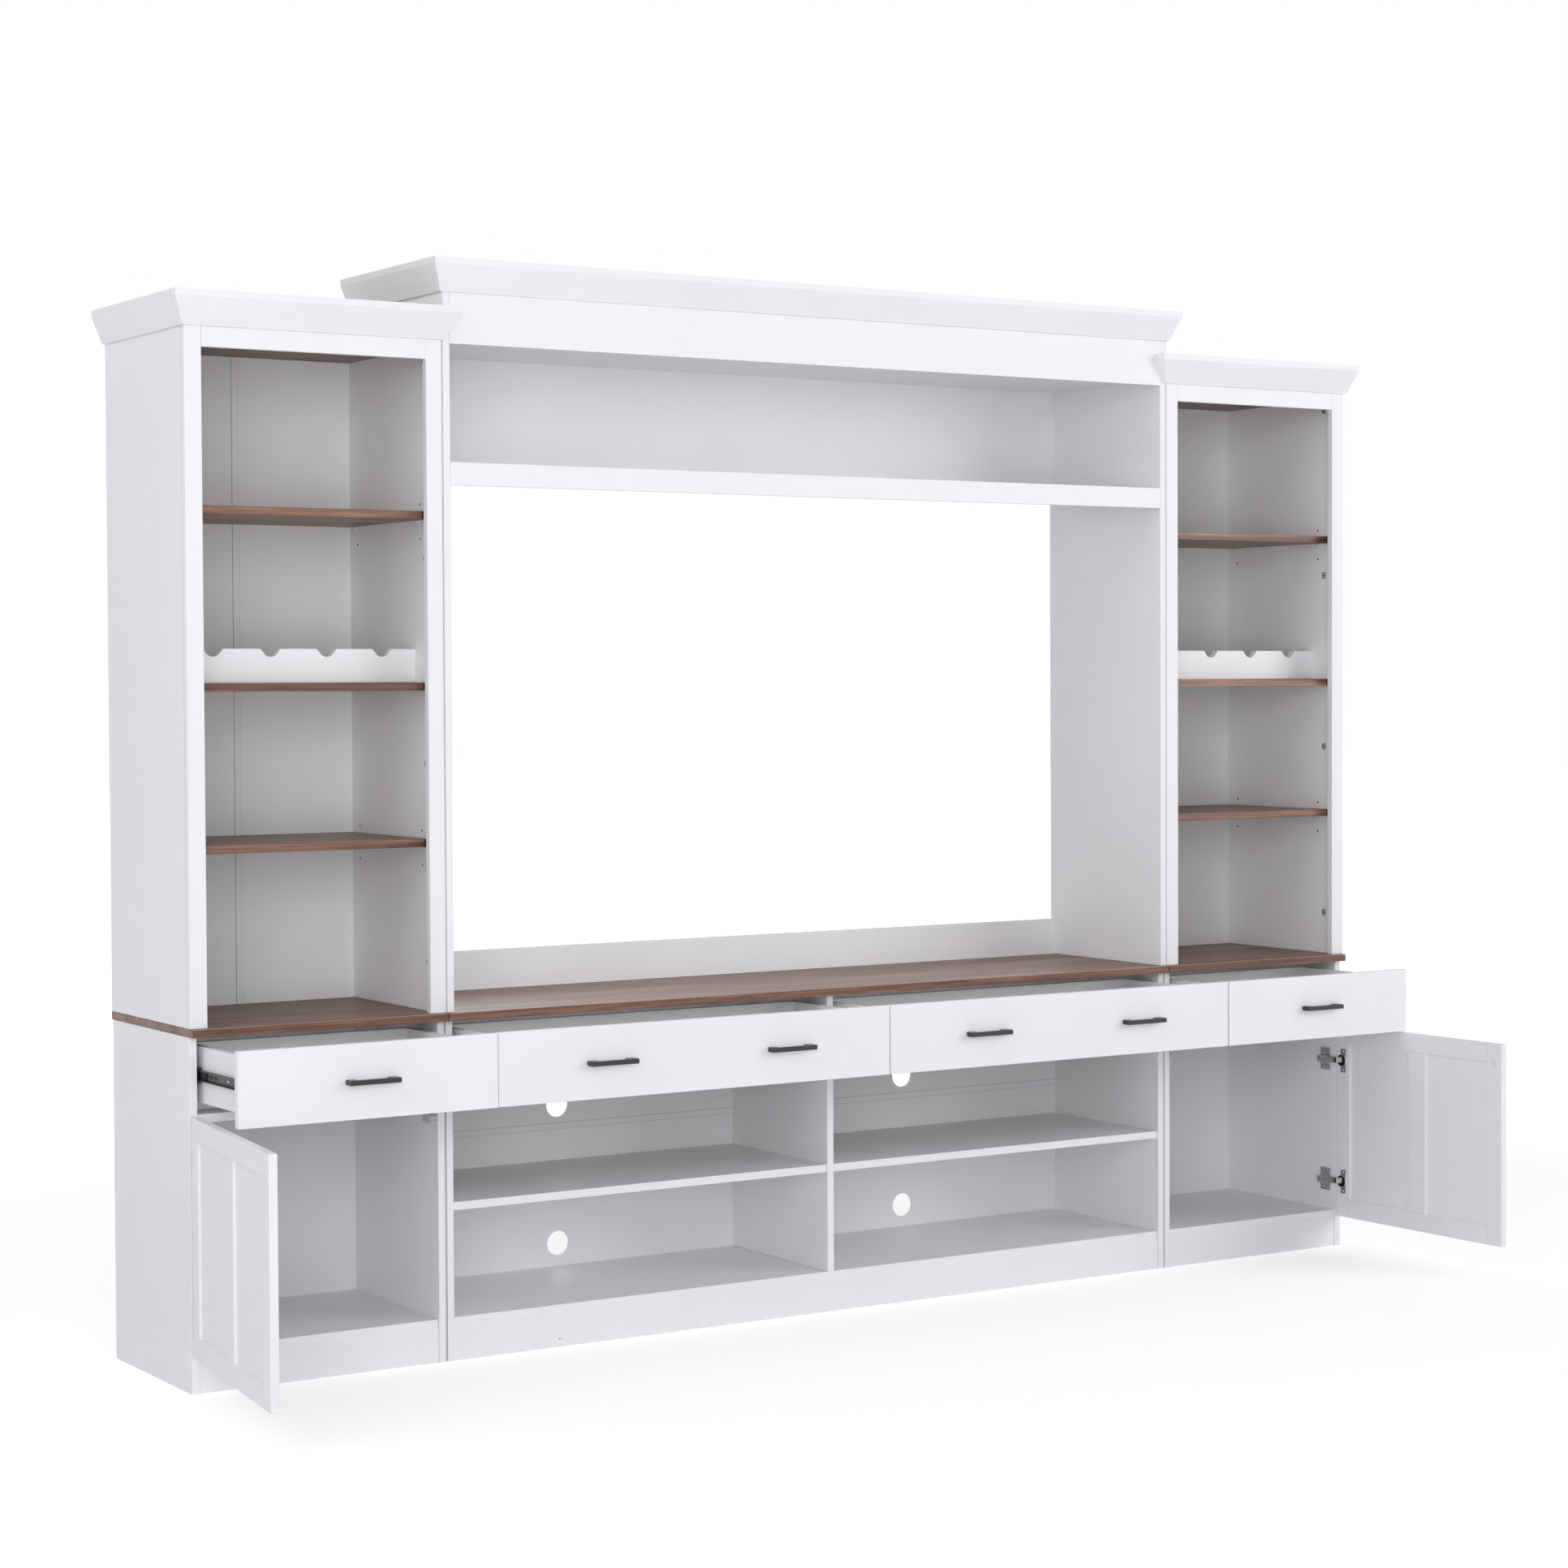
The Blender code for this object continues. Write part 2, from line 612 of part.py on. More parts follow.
def build_hutch(side, sign, finishes):
    white = finishes["white"]
    walnut = finishes["walnut"]
    clear = BOARD + FIT
    play = BOARD + SHELF_PLAY
    outer = sign * HALF_WIDTH
    inner = sign * (HALF_WIDTH - TOWER_WIDTH)
    hutch_side(f"{side}_hutch_outer_side", outer, -sign, white)
    hutch_side(f"{side}_hutch_inner_side", inner, sign, white)
    fixed_x = tower_x(sign, clear, TOWER_WIDTH - clear)
    loose_x = tower_x(sign, play, TOWER_WIDTH - play)
    roof_y = deep(HUTCH_SETBACK + FIT, HUTCH_BACK_FACE - FIT)
    shelf_y = deep(SHELF_SETBACK, HUTCH_BACK_FACE - FIT)
    soften(block(f"{side}_hutch_roof", fixed_x, roof_y, (ROOF_UNDERSIDE, ROOF_UNDERSIDE + BOARD), walnut))
    seat = BOARD - GROOVE_DEPTH + FIT
    back_y = deep(HUTCH_BACK_FACE, HUTCH_BACK_FACE + BACK_BOARD)
    back_z = (HUTCH_BOTTOM, ROOF_UNDERSIDE + BOARD)
    block(f"{side}_hutch_back", tower_x(sign, seat, TOWER_WIDTH - seat), back_y, back_z, white)
    shelves = {
        "upper_shelf": (loose_x, UPPER_SHELF_UNDERSIDE),
        "rack_shelf": (fixed_x, RACK_SHELF_TOP - BOARD),
        "lower_shelf": (loose_x, LOWER_SHELF_UNDERSIDE),
    }
    for name, (x, underside) in shelves.items():
        soften(block(f"{side}_{name}", x, shelf_y, (underside, underside + BOARD), walnut))
    bottle_rail(f"{side}_bottle_rail", sum(fixed_x) / 2, (fixed_x[1] - fixed_x[0]) / 2, white)
    build_tower_crown(side, sign, white)


def build_tower_crown(side, sign, finish):
    """The return next to the bridge stops at the front plane, because the bridge's side stands behind it."""
    stopped = FRONT + HUTCH_FACE - FIT
    full = FRONT + HUTCH_REAR
    ends = (full, stopped) if sign < 0 else (stopped, full)
    moulding = crown(f"{side}_crown", tower_x(sign, 0, TOWER_WIDTH), ends, TOWER_CROWN_BOTTOM, finish)
    rail_x = tower_x(sign, STILE_WIDTH + FIT, TOWER_WIDTH - STILE_WIDTH - FIT)
    add_fascia(moulding, f"{side}_top_rail", rail_x, TOP_RAIL_UNDERSIDE, HUTCH_TOP, TOWER_CROWN_BOTTOM)


def build_bridge(finishes):
    white = finishes["white"]
    inner = HALF_CONSOLE - BOARD
    clear = inner - FIT
    rear = FRONT + COUNTER_REAR
    side_y = (FRONT + HUTCH_FACE, rear)
    sides = {}
    for side, sign in SIDE_SIGNS.items():
        x = (sign * inner, sign * HALF_CONSOLE)
        sides[side] = block(f"bridge_{side}_side", x, side_y, (HUTCH_BOTTOM, BRIDGE_TOP), white)
        soften(sides[side])
        add_back_groove(
            sides[side], f"bridge_{side}_side", sign * inner, sign, HUTCH_BACK_FACE, BRIDGE_SHELF_TOP, BRIDGE_TOP
        )
    low_rail_z = (HUTCH_BOTTOM, HUTCH_BOTTOM + LOW_RAIL_HEIGHT)
    fuse(sides["left"], block("low_rail", (-inner - BOND, clear), (rear - BOARD, rear), low_rail_z))
    build_bridge_shelf(clear, white)
    moulding = crown("bridge_crown", (-HALF_CONSOLE, HALF_CONSOLE), (rear, rear), BRIDGE_CROWN_BOTTOM, white)
    add_fascia(moulding, "fascia", (-clear, clear), BRIDGE_FASCIA_BOTTOM, BRIDGE_TOP, BRIDGE_CROWN_BOTTOM)
    roof_y = deep(HUTCH_SETBACK - BOND, HUTCH_BACK_FACE - FIT)
    roof_z = (BRIDGE_ROOF_UNDERSIDE, BRIDGE_ROOF_UNDERSIDE + BOARD)
    fuse(moulding, block("bridge_roof", (-clear, clear), roof_y, roof_z))


def build_bridge_shelf(clear, finish):
    """The cubby's shelf, with the deep strip along its front edge and the thin back board behind it."""
    shelf_y = deep(HUTCH_FACE, HUTCH_BACK_FACE + BOND)
    top = BRIDGE_SHELF_TOP
    shelf = block("bridge_shelf", (-clear, clear), shelf_y, (top - BOARD, top), finish)
    strip_y = deep(HUTCH_FACE, HUTCH_SETBACK)
    fuse(shelf, block("shelf_strip", (-clear, clear), strip_y, (top - BRIDGE_SHELF_FASCIA, top)))
    seat = clear + GROOVE_DEPTH
    back_y = deep(HUTCH_BACK_FACE, HUTCH_BACK_FACE + BACK_BOARD)
    back_z = (top, BRIDGE_ROOF_UNDERSIDE + BOARD)
    fuse(shelf, block("cubby_back", (-seat, seat), back_y, back_z))
    foot_z = (top - BOARD, top + BOND)
    fuse(shelf, block("cubby_back_foot", (-clear, clear), back_y, foot_z))
    return shelf


def add_empty(name, location, turn=0):
    empty = bpy.data.objects.new(name, None)
    empty.location = location
    empty.rotation_euler = (0, 0, turn)
    bpy.context.scene.collection.objects.link(empty)
    return empty


def hinge_axis_x(sign):
    return sign * (HALF_WIDTH - FRONT_REVEAL - PIVOT_INSET)


def build_door(side, sign, finishes):
    """A door in the frame of its hinge axis. Distances run from its hinged edge, and it is drawn shut."""
    turn = sign * radians(DOOR_SHOWN_DEGREES[side])
    axis = add_empty(f"{side}_door_axis", (hinge_axis_x(sign), HINGE_AXIS_Y, 0), turn)

    def across(start, end):
        return sorted((-sign * (start - PIVOT_INSET), -sign * (end - PIVOT_INSET)))

    inner_face = PIVOT_DEPTH
    outer_face = PIVOT_DEPTH - BOARD
    white = finishes["white"]
    door = block(f"{side}_door", across(0, DOOR_WIDTH), (outer_face, inner_face), (DOOR_BOTTOM, DOOR_TOP), white, axis)
    soften(door)
    sunk = (BOARD - DOOR_PANEL) / 2
    panel_z = (DOOR_BOTTOM + DOOR_RAIL, DOOR_TOP - DOOR_RAIL)
    middle = DOOR_WIDTH / 2
    bays = {
        "hinged": (DOOR_STILE, middle - DOOR_CENTRE_STILE / 2),
        "free": (middle + DOOR_CENTRE_STILE / 2, DOOR_WIDTH - DOOR_STILE),
    }
    for bay, (start, end) in bays.items():
        x = across(start, end)
        cut(door, block(f"{side}_{bay}_front_sink", x, (outer_face - OVERRUN, outer_face + sunk), panel_z, None, axis))
        cut(door, block(f"{side}_{bay}_rear_sink", x, (inner_face - sunk, inner_face + OVERRUN), panel_z, None, axis))
    for level, height in (("lower", HINGE_LOWER_HEIGHT), ("upper", HINGE_UPPER_HEIGHT)):
        add_hinge_cup(door, f"{side}_{level}_cup", across, height, axis)
    strike_middle = TOWER_WIDTH - BOARD - CATCH_PROJECTION / 2 - FRONT_REVEAL
    strike_x = across(strike_middle - STRIKE_SIZE / 2, strike_middle + STRIKE_SIZE / 2)
    strike_y = (inner_face - BOND, inner_face + STRIKE_THICKNESS)
    strike_z = (CATCH_HEIGHT - STRIKE_SIZE / 2, CATCH_HEIGHT + STRIKE_SIZE / 2)
    fuse(door, block(f"{side}_strike", strike_x, strike_y, strike_z, None, axis))


def add_hinge_cup(door, name, across, height, axis):
    """The screwed flange, the rim, the round cup, and the slot at its rim where the arm swings."""
    inner_face = PIVOT_DEPTH
    flange_middle = CUP_INSET + CUP_FLANGE_OFFSET
    flange_x = across(flange_middle - CUP_FLANGE_WIDTH / 2, flange_middle + CUP_FLANGE_WIDTH / 2)
    flange_y = (inner_face - BOND, inner_face + CUP_FLANGE_THICKNESS)
    flange_z = (height - CUP_FLANGE_HEIGHT / 2, height + CUP_FLANGE_HEIGHT / 2)
    fuse(door, block(name + "_flange", flange_x, flange_y, flange_z, None, axis))
    floor = inner_face - CUP_DEPTH
    mouth = inner_face + OVERRUN
    centre = (sum(across(CUP_INSET, CUP_INSET)) / 2, height)
    rim_y = (inner_face - 2 * BOND, inner_face + CUP_RIM_THICKNESS)
    fuse(door, cylinder(name + "_rim", 1, centre, CUP_RIM_DIAMETER / 2, *rim_y, CUP_SIDES, None, axis))
    cut(door, cylinder(name + "_bore", 1, centre, CUP_DIAMETER / 2, floor, mouth, CUP_SIDES, None, axis))
    slot_x = across(CUP_SLOT_WALL, CUP_INSET)
    slot_z = (height - ARM_HEIGHT / 2 - FIT, height + ARM_HEIGHT / 2 + FIT)
    cut(door, block(name + "_slot", slot_x, (floor, mouth), slot_z, None, axis))


def strip_outline(points, thickness):
    """The outline of a bent strip of even thickness along a line of points."""
    runs = [(end - start).normalized() for start, end in zip(points, points[1:])]
    sides = []
    for way in (1, -1):
        edge = []
        for point, first, second in zip(points, [runs[0], *runs], [*runs, runs[-1]]):
            bisector = (Vector((-first.y, first.x)) + Vector((-second.y, second.x))).normalized()
            reach = thickness / 2 / bisector.dot(Vector((-first.y, first.x)))
            edge.append(point + way * reach * bisector)
        sides.append(edge)
    return sides[0] + list(reversed(sides[1]))


def build_hinge(side, level, sign, height, finishes):
    """A hinge arm: the knuckle in the cup, the bent neck, the channel and the screwed plate."""
    name = f"{side}_{level}_hinge"
    axis_x = hinge_axis_x(sign)
    front_plane = FRONT_STANDOFF + PIVOT_DEPTH

    def place(inward, back):
        return (axis_x - sign * inward, HINGE_AXIS_Y + back)

    line = [
        Vector((0, 0)),
        Vector((ARM_REACH, -ARM_DIP)),
        Vector((ARM_REACH, ARM_BEND_START)),
        Vector((ARM_RISE, ARM_BEND_END)),
        Vector((ARM_RISE, ARM_BEND_END + CHANNEL_LENGTH)),
    ]
    outline = [place(*point) for point in strip_outline(line, ARM_SHEET)]
    low = height - ARM_HEIGHT / 2
    high = height + ARM_HEIGHT / 2
    arm = prism(name, outline, 2, low, high, finishes["nickel"])
    knuckle = cylinder(name + "_knuckle", 2, place(0, 0), ARM_KNUCKLE_RADIUS, low, high, ARM_KNUCKLE_SIDES)
    fuse(arm, knuckle)
    panel = BOARD - FRONT_REVEAL - PIVOT_INSET
    plate_inner = panel + FIT
    plate_outer = plate_inner + PLATE_THICKNESS
    plate_back = (front_plane + PLATE_SETBACK, front_plane + PLATE_SETBACK + PLATE_LENGTH)
    add_hinge_channel(arm, name, place, height, plate_outer - BOND)
    add_hinge_plate(arm, name, place, height, (plate_inner, plate_outer), plate_back)


def add_hinge_channel(arm, name, place, height, foot):
    """The folded channel under the arm: its back and its two walls down to the plate."""
    top = ARM_RISE + ARM_SHEET / 2
    start = ARM_BEND_END
    end = ARM_BEND_END + CHANNEL_LENGTH
    (near_x, start_y), (far_x, end_y) = place(top - CHANNEL_WALL, start), place(top, end)
    z = (height - CHANNEL_HEIGHT / 2, height + CHANNEL_HEIGHT / 2)
    fuse(arm, block(name + "_channel_back", (near_x, far_x), (start_y, end_y), z))
    foot_x = place(foot, 0)[0]
    for level, edge in zip(("lower", "upper"), z):
        inner_edge = edge + (CHANNEL_WALL if level == "lower" else -CHANNEL_WALL)
        fuse(arm, block(f"{name}_channel_{level}", (foot_x, far_x), (start_y, end_y), (edge, inner_edge)))


def add_hinge_plate(arm, name, place, height, thickness, length):
    (inner_x, start_y), (outer_x, end_y) = place(thickness[0], length[0]), place(thickness[1], length[1])
    z = (height - PLATE_HEIGHT / 2, height + PLATE_HEIGHT / 2)
    fuse(arm, block(name + "_plate", (inner_x, outer_x), (start_y, end_y), z))
    middle = (start_y + end_y) / 2
    through = (min(inner_x, outer_x) - OVERRUN, max(inner_x, outer_x) + OVERRUN)
    for level, edge, way in (("lower", z[0], 1), ("upper", z[1], -1)):
        slot_z = (edge + way * PLATE_SLOT_EDGE, edge + way * (PLATE_SLOT_EDGE + PLATE_SLOT_LENGTH))
        for place_name, step in (("front", -1), ("rear", 1)):
            centre = middle + step * PLATE_SLOT_SPACING / 2
            slot_y = (centre - PLATE_SLOT_WIDTH / 2, centre + PLATE_SLOT_WIDTH / 2)
            cut(arm, block(f"{name}_{level}_{place_name}_slot", through, slot_y, slot_z))


def build_catch(side, sign, finishes):
    """A magnetic catch: a body with a screw recess and two steel pole plates at its front."""
    face = sign * (HALF_WIDTH - TOWER_WIDTH + BOARD)
    near = face + sign * FIT
    far = face + sign * CATCH_PROJECTION
    front = FRONT + CATCH_SETBACK
    rear = front + CATCH_LENGTH
    outline = [
        (near, front),
        (far - sign * CATCH_CHAMFER, front),
        (far, front + CATCH_CHAMFER),
        (far, rear - CATCH_CHAMFER),
        (far - sign * CATCH_CHAMFER, rear),
        (near, rear),
    ]
    z = (CATCH_HEIGHT - CATCH_TALL / 2, CATCH_HEIGHT + CATCH_TALL / 2)
    catch = prism(f"{side}_door_catch", outline, 2, *z, finishes["plastic"])
    poles_front = FRONT - FRONT_STANDOFF + STRIKE_THICKNESS + STRIKE_GAP
    pole_middle = (near + far) / 2
    pole_x = (pole_middle - POLE_WIDTH / 2, pole_middle + POLE_WIDTH / 2)
    for level, step in (("lower", -1), ("upper", 1)):
        centre = CATCH_HEIGHT + step * POLE_SPACING / 2
        pole_z = (centre - POLE_THICKNESS / 2, centre + POLE_THICKNESS / 2)
        fuse(catch, block(f"{side}_{level}_pole", pole_x, (poles_front, front + BOND), pole_z))
    screw = (rear - CATCH_TALL, CATCH_HEIGHT)
    ends = (far + sign * OVERRUN, far - sign * CATCH_SCREW_DEPTH)
    cut(catch, cylinder(f"{side}_catch_screw", 0, screw, CATCH_SCREW_DIAMETER / 2, *ends, PIN_SIDES))


def build_drawer(name, front_x, bay, handle_places, finishes):
    """A drawer drawn shut in the frame of an empty, which is then pulled forward."""
    runner = add_empty(f"{name}_drawer_runner", (0, -DRAWER_SHOWN[name], 0))
    white = finishes["white"]
    front_y = deep(-FRONT_STANDOFF - BOARD, -FRONT_STANDOFF)
    front_z = (DRAWER_FRONT_BOTTOM, DRAWER_FRONT_TOP)
    soften(block(f"{name}_drawer_front", front_x, front_y, front_z, white, runner))
    build_drawer_box(name, bay, runner, white)
    for handle_name, middle in handle_places.items():
        build_handle(f"{handle_name}_drawer_handle", middle, front_y[0], runner, finishes["black"])


def build_drawer_box(name, bay, runner, finish):
    """Two sides, a back and a bottom, with a slide member on each side. The drawer front closes it."""
    left, right = bay[0] + SLIDE_SPACE, bay[1] - SLIDE_SPACE
    start = FRONT - FRONT_STANDOFF + FIT
    end = start + DRAWER_DEPTH
    z = (DRAWER_BOX_BOTTOM, DRAWER_BOX_TOP)
    box = block(f"{name}_drawer_box", (left, left + DRAWER_SIDE), (start, end), z, finish, runner)
    fuse(box, block(f"{name}_right_wall", (right - DRAWER_SIDE, right), (start, end), z, None, runner))
    between = (left + DRAWER_SIDE - BOND, right - DRAWER_SIDE + BOND)
    back_end = end - DRAWER_BACK_INSET
    fuse(box, block(f"{name}_back_wall", between, (back_end - DRAWER_SIDE, back_end), z, None, runner))
    bottom_low = DRAWER_BOX_BOTTOM + DRAWER_BOTTOM_LIFT
    bottom_z = (bottom_low, bottom_low + DRAWER_BOTTOM)
    bottom_y = (start, back_end - DRAWER_SIDE + BOND)
    fuse(box, block(f"{name}_bottom", between, bottom_y, bottom_z, None, runner))
    for hand, face, away in (("left", left, -1), ("right", right, 1)):
        outline = channel_outline(face, away, SLIDE_INNER_DEEP, SLIDE_INNER_TALL, SLIDE_SHEET, SLIDE_HEIGHT)
        fuse(box, prism(f"{name}_{hand}_slide", outline, 1, start, start + SLIDE_LENGTH, None, runner))


def build_handle(name, middle, face, runner, finish):
    """A bar on two feet, drawn in plan."""
    half = HANDLE_LENGTH / 2
    foot = half - HANDLE_FOOT
    neck = foot + HANDLE_FOOT_TAPER
    back = face - FIT
    bar_back = face - HANDLE_PROJECTION + HANDLE_BAR
    bar_front = face - HANDLE_PROJECTION
    outline = [
        (middle - half, back),
        (middle - half, bar_front),
        (middle + half, bar_front),
        (middle + half, back),
        (middle + foot, back),
        (middle + neck, bar_back),
        (middle - neck, bar_back),
        (middle - foot, back),
    ]
    height = (DRAWER_FRONT_BOTTOM + DRAWER_FRONT_TOP) / 2
    z = (height - HANDLE_TALL / 2, height + HANDLE_TALL / 2)
    soften(prism(name, outline, 2, *z, finish, runner), HANDLE_ARRIS)


def build_drawers(finishes):
    for side, sign in SIDE_SIGNS.items():
        tower_front = tower_x(sign, FRONT_REVEAL, TOWER_WIDTH - FRONT_REVEAL)
        tower_bay = tower_x(sign, BOARD, TOWER_WIDTH - BOARD)
        middle = sum(tower_bay) / 2
        name = f"{side}_tower"
        build_drawer(name, tower_front, tower_bay, {name: middle}, finishes)
        name = f"{side}_console"
        console_front = sorted((sign * FRONT_REVEAL, sign * (HALF_CONSOLE - FRONT_REVEAL)))
        console_bay = sorted((sign * BOARD / 2, sign * (HALF_CONSOLE - BOARD)))
        middle = sign * HALF_CONSOLE / 2
        handles = {
            f"{name}_inner": middle - sign * CONSOLE_HANDLE_OFFSET,
            f"{name}_outer": middle + sign * CONSOLE_HANDLE_OFFSET,
        }
        build_drawer(name, console_front, console_bay, handles, finishes)


def main():
    clear_scene()
    finishes = make_materials()
    build_console(finishes)
    build_bridge(finishes)
    for side, sign in SIDE_SIGNS.items():
        build_tower_base(side, sign, finishes)
        build_hutch(side, sign, finishes)
        build_door(side, sign, finishes)
        for level, height in (("lower", HINGE_LOWER_HEIGHT), ("upper", HINGE_UPPER_HEIGHT)):
            build_hinge(side, level, sign, height, finishes)
        build_catch(side, sign, finishes)
    build_drawers(finishes)


main()
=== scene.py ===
"""The looks of the entertainment center: materials, small fittings, light and the photograph's view.

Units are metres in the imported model's frame. +X runs along the front to the right, +Y points to the
wall and +Z is up.
"""

import json
from math import cos, pi, radians, sin

import bmesh
import bpy
from mathutils import Matrix, Vector


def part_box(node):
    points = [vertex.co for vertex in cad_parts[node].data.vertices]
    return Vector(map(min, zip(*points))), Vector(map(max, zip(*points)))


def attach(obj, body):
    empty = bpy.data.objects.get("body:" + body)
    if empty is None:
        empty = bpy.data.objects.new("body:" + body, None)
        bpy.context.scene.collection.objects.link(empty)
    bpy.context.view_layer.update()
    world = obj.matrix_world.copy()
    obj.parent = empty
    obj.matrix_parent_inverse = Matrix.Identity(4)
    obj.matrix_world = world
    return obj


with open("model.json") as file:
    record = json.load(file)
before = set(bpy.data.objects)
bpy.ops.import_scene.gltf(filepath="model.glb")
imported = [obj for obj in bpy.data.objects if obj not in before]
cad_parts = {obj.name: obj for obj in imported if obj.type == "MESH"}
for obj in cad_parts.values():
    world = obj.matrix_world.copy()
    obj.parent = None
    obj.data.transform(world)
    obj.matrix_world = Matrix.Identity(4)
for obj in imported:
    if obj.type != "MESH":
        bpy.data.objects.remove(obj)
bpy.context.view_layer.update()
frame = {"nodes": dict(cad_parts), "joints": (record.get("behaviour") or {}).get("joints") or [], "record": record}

# Places and sizes that the model also has
BOARD = 0.015
FRONT = -0.0095
HALF_CONSOLE = 0.850
HALF_WIDTH = 1.351
TOWER_WIDTH = 0.500
COUNTER_NOSE = 0.019
COUNTER_TOP = 0.6503
HUTCH_SETBACK = 0.006
HUTCH_BACK_FACE = 0.3655
HUTCH_BACK_HEIGHTS = (0.6509, 1.8777)
BASE_BACK_FACE = 0.366
SLIDE_HEIGHT = 0.5665
SLIDE_HALF_TALL = 0.0145
SLIDE_SPACE = 0.0125
SLIDE_WEB = 0.0083
SLIDE_SHEET = 0.0012
SLIDE_WEB_HALF_TALL = 0.0076
PIVOT_INSET = 0.0055
PIVOT_DEPTH = 0.009
CUP_INSET = 0.0165
CUP_RADIUS = 0.013
CUP_DEPTH = 0.012
CUP_RIM = 0.01365
CUP_RIM_HALF = 0.00055
CUP_SLOT_WALL = 0.0025
CUP_SLOT_HALF_TALL = 0.0063
FLANGE_INSET = 0.0225
FLANGE_THICKNESS = 0.001
HINGE_HEIGHTS = {"lower": 0.1465, "upper": 0.4155}
PLATE_FACE = 0.0103
PLATE_START = 0.014
PLATE_LENGTH = 0.031
ARM_TOP = 0.0215
ARM_LINK = -0.0200
ARM_NECK = -0.0140
ARM_START = -0.0008
CATCH_HEIGHT = 0.453
CATCH_PROJECTION = 0.014
DOOR_WIDTH = 0.497
DOOR_HEIGHTS = (0.068, 0.494)
DOOR_STILE = 0.041
DOOR_RAIL = 0.040
DOOR_CENTRE_STILE = 0.050
PIN_PLACES = (0.0475, 0.3225)
PIN_HEIGHTS = (0.954, 1.559)
PIN_PITCH = 0.032
PIN_RADIUS = 0.0025
PIN_HOLE_DEPTH = 0.010
CROWN_BOTTOMS = {"tower": 1.890, "bridge": 1.979}
CROWN_FOOT = 0.005
CROWN_PROJECTION = 0.025
CROWN_SLOPE_HEIGHT = 0.049
SIDE_SIGNS = {"left": -1, "right": 1}

# Small fittings
CAM_RADIUS = 0.0060
# The disc of painted shade round each cam, for its bore
CAM_GAP_RADIUS = 0.0074
CAM_PROUD = 0.0004
CAM_GAP_PROUD = 0.0002
CAM_DEPTH = 0.034
CAM_OFFSET = 0.0016
CAM_HEIGHTS = (0.741, 1.1105, 1.4905, 1.856)
SCREW_RADIUS = 0.0031
SCREW_PROUD = 0.0012
# The dark disc under a screw head, a ring of painted shadow
SCREW_RING_RADIUS = 0.0042
SCREW_RING_PROUD = 0.0002
PLATE_SCREW_SPREAD = 0.0065
PLATE_SCREW_RISE = 0.018
FLANGE_SCREW_SPREAD = 0.0206
CATCH_SCREW_PLACE = 0.027
CATCH_SCREW_DEPTH = 0.0038
CATCH_SCREW_RADIUS = 0.0022
CATCH_SCREW_TALL = 0.0034
ADJUSTERS = ((0.0265, 0.0026), (0.0359, 0.0022), (0.0482, 0.0034))
ADJUSTER_PROUD = 0.0006
ADJUSTER_RING_SHARE = 1.25
STRIP_WIDTH = 0.012
STRIP_PROUD = 0.0010
# Width of the painted shadow line along a back strip's edge
STRIP_LINE = 0.0009
TOWER_STRIP_OFFSET = 0.0015
CONSOLE_STRIP_HEIGHT = 0.364
RIVET_PLACE = 0.086
RIVET_RADIUS = 0.0030
RIVET_PROUD = 0.0012
RIVET_RING_RADIUS = 0.0045
RIVET_RING_PROUD = 0.0003
PUNCHED_PLACES = (0.144, 0.166)
PUNCHED_RADIUS = 0.0028
PUNCHED_PROUD = 0.0005
PUNCHED_STRETCH = 0.0034
CAGE_ENDS = (0.184, 0.216)
CAGE_HALF_TALL = 0.0074
CAGE_DEPTH = 0.0042
CAGE_ROUNDING = 0.0012
CAGE_ROUNDING_STEPS = 2
CAGE_ROUNDING_SHARE = 0.5
PLUG_RADIUS = 0.0017
PLUG_PROUD = 0.0006
PLUG_PLACE = (-1.304, 0.0005)
# The dark disc of painted shade for the plinth's small dimple
MARK_RADIUS = 0.0016
MARK_PROUD = 0.0003
MARK_PLACE = (-0.613, 0.015)
PLINTH_FRONT = -0.0075
TRIM_GAP = 0.0001

# Round fittings: each profile in shares of the radius and the height
HEAD_PROFILE_SHARES = ((1.00, 0.00), (1.00, 0.35), (0.90, 0.75), (0.70, 1.00), (0.34, 1.00), (0.26, 0.55))
DISC_PROFILE_SHARES = ((1.00, 0.00), (1.00, 0.80), (0.94, 1.00))
PUNCHED_PROFILE_SHARES = ((1.00, 0.00), (1.00, 0.70), (0.92, 1.00), (0.74, 1.00), (0.70, 0.10))
CROSS_LENGTH_SHARE = 0.62
CROSS_WIDTH_SHARE = 0.17
CROSS_PROUD = 0.00005
ROUND_SIDES = 24

# Which of a piece's two materials the wall and the top of a round shape have
ALL_FIRST = (0, 0)
TOP_SECOND = (0, 1)
ALL_SECOND = (1, 1)

# Fine lines in the finish
SEAM_HALF = 0.0004
WEB_LINE_HALF = 0.0002
ARRIS_DEPTH = 0.0012
ARRIS_HEIGHT = 0.0008
# How far from its end a tower shelf's front edge gets painted shadow by the stile
SHELF_ENDS = {"left": 0.0125, "right": 0.0060}
COUNTER_JOINT_HALF = 0.0010
CROWN_SEAM = 0.0205
SEAM_GREY = (0.32, 0.32, 0.34)
FAINT_SEAM_GREY = (0.58, 0.58, 0.60)
UNIT_JOINT = 0.8505
BASE_JOINT = (0.0017, (0.035, 0.035, 0.038))
HUTCH_JOINT = (0.0014, (0.07, 0.07, 0.075))
UNIT_JOINTS = {
    "left_base_inner_side": BASE_JOINT,
    "right_base_inner_side": BASE_JOINT,
    "console_left_side": BASE_JOINT,
    "console_right_side": BASE_JOINT,
    "left_hutch_inner_side": HUTCH_JOINT,
    "right_hutch_inner_side": HUTCH_JOINT,
    "bridge_left_side": HUTCH_JOINT,
    "bridge_right_side": HUTCH_JOINT,
}
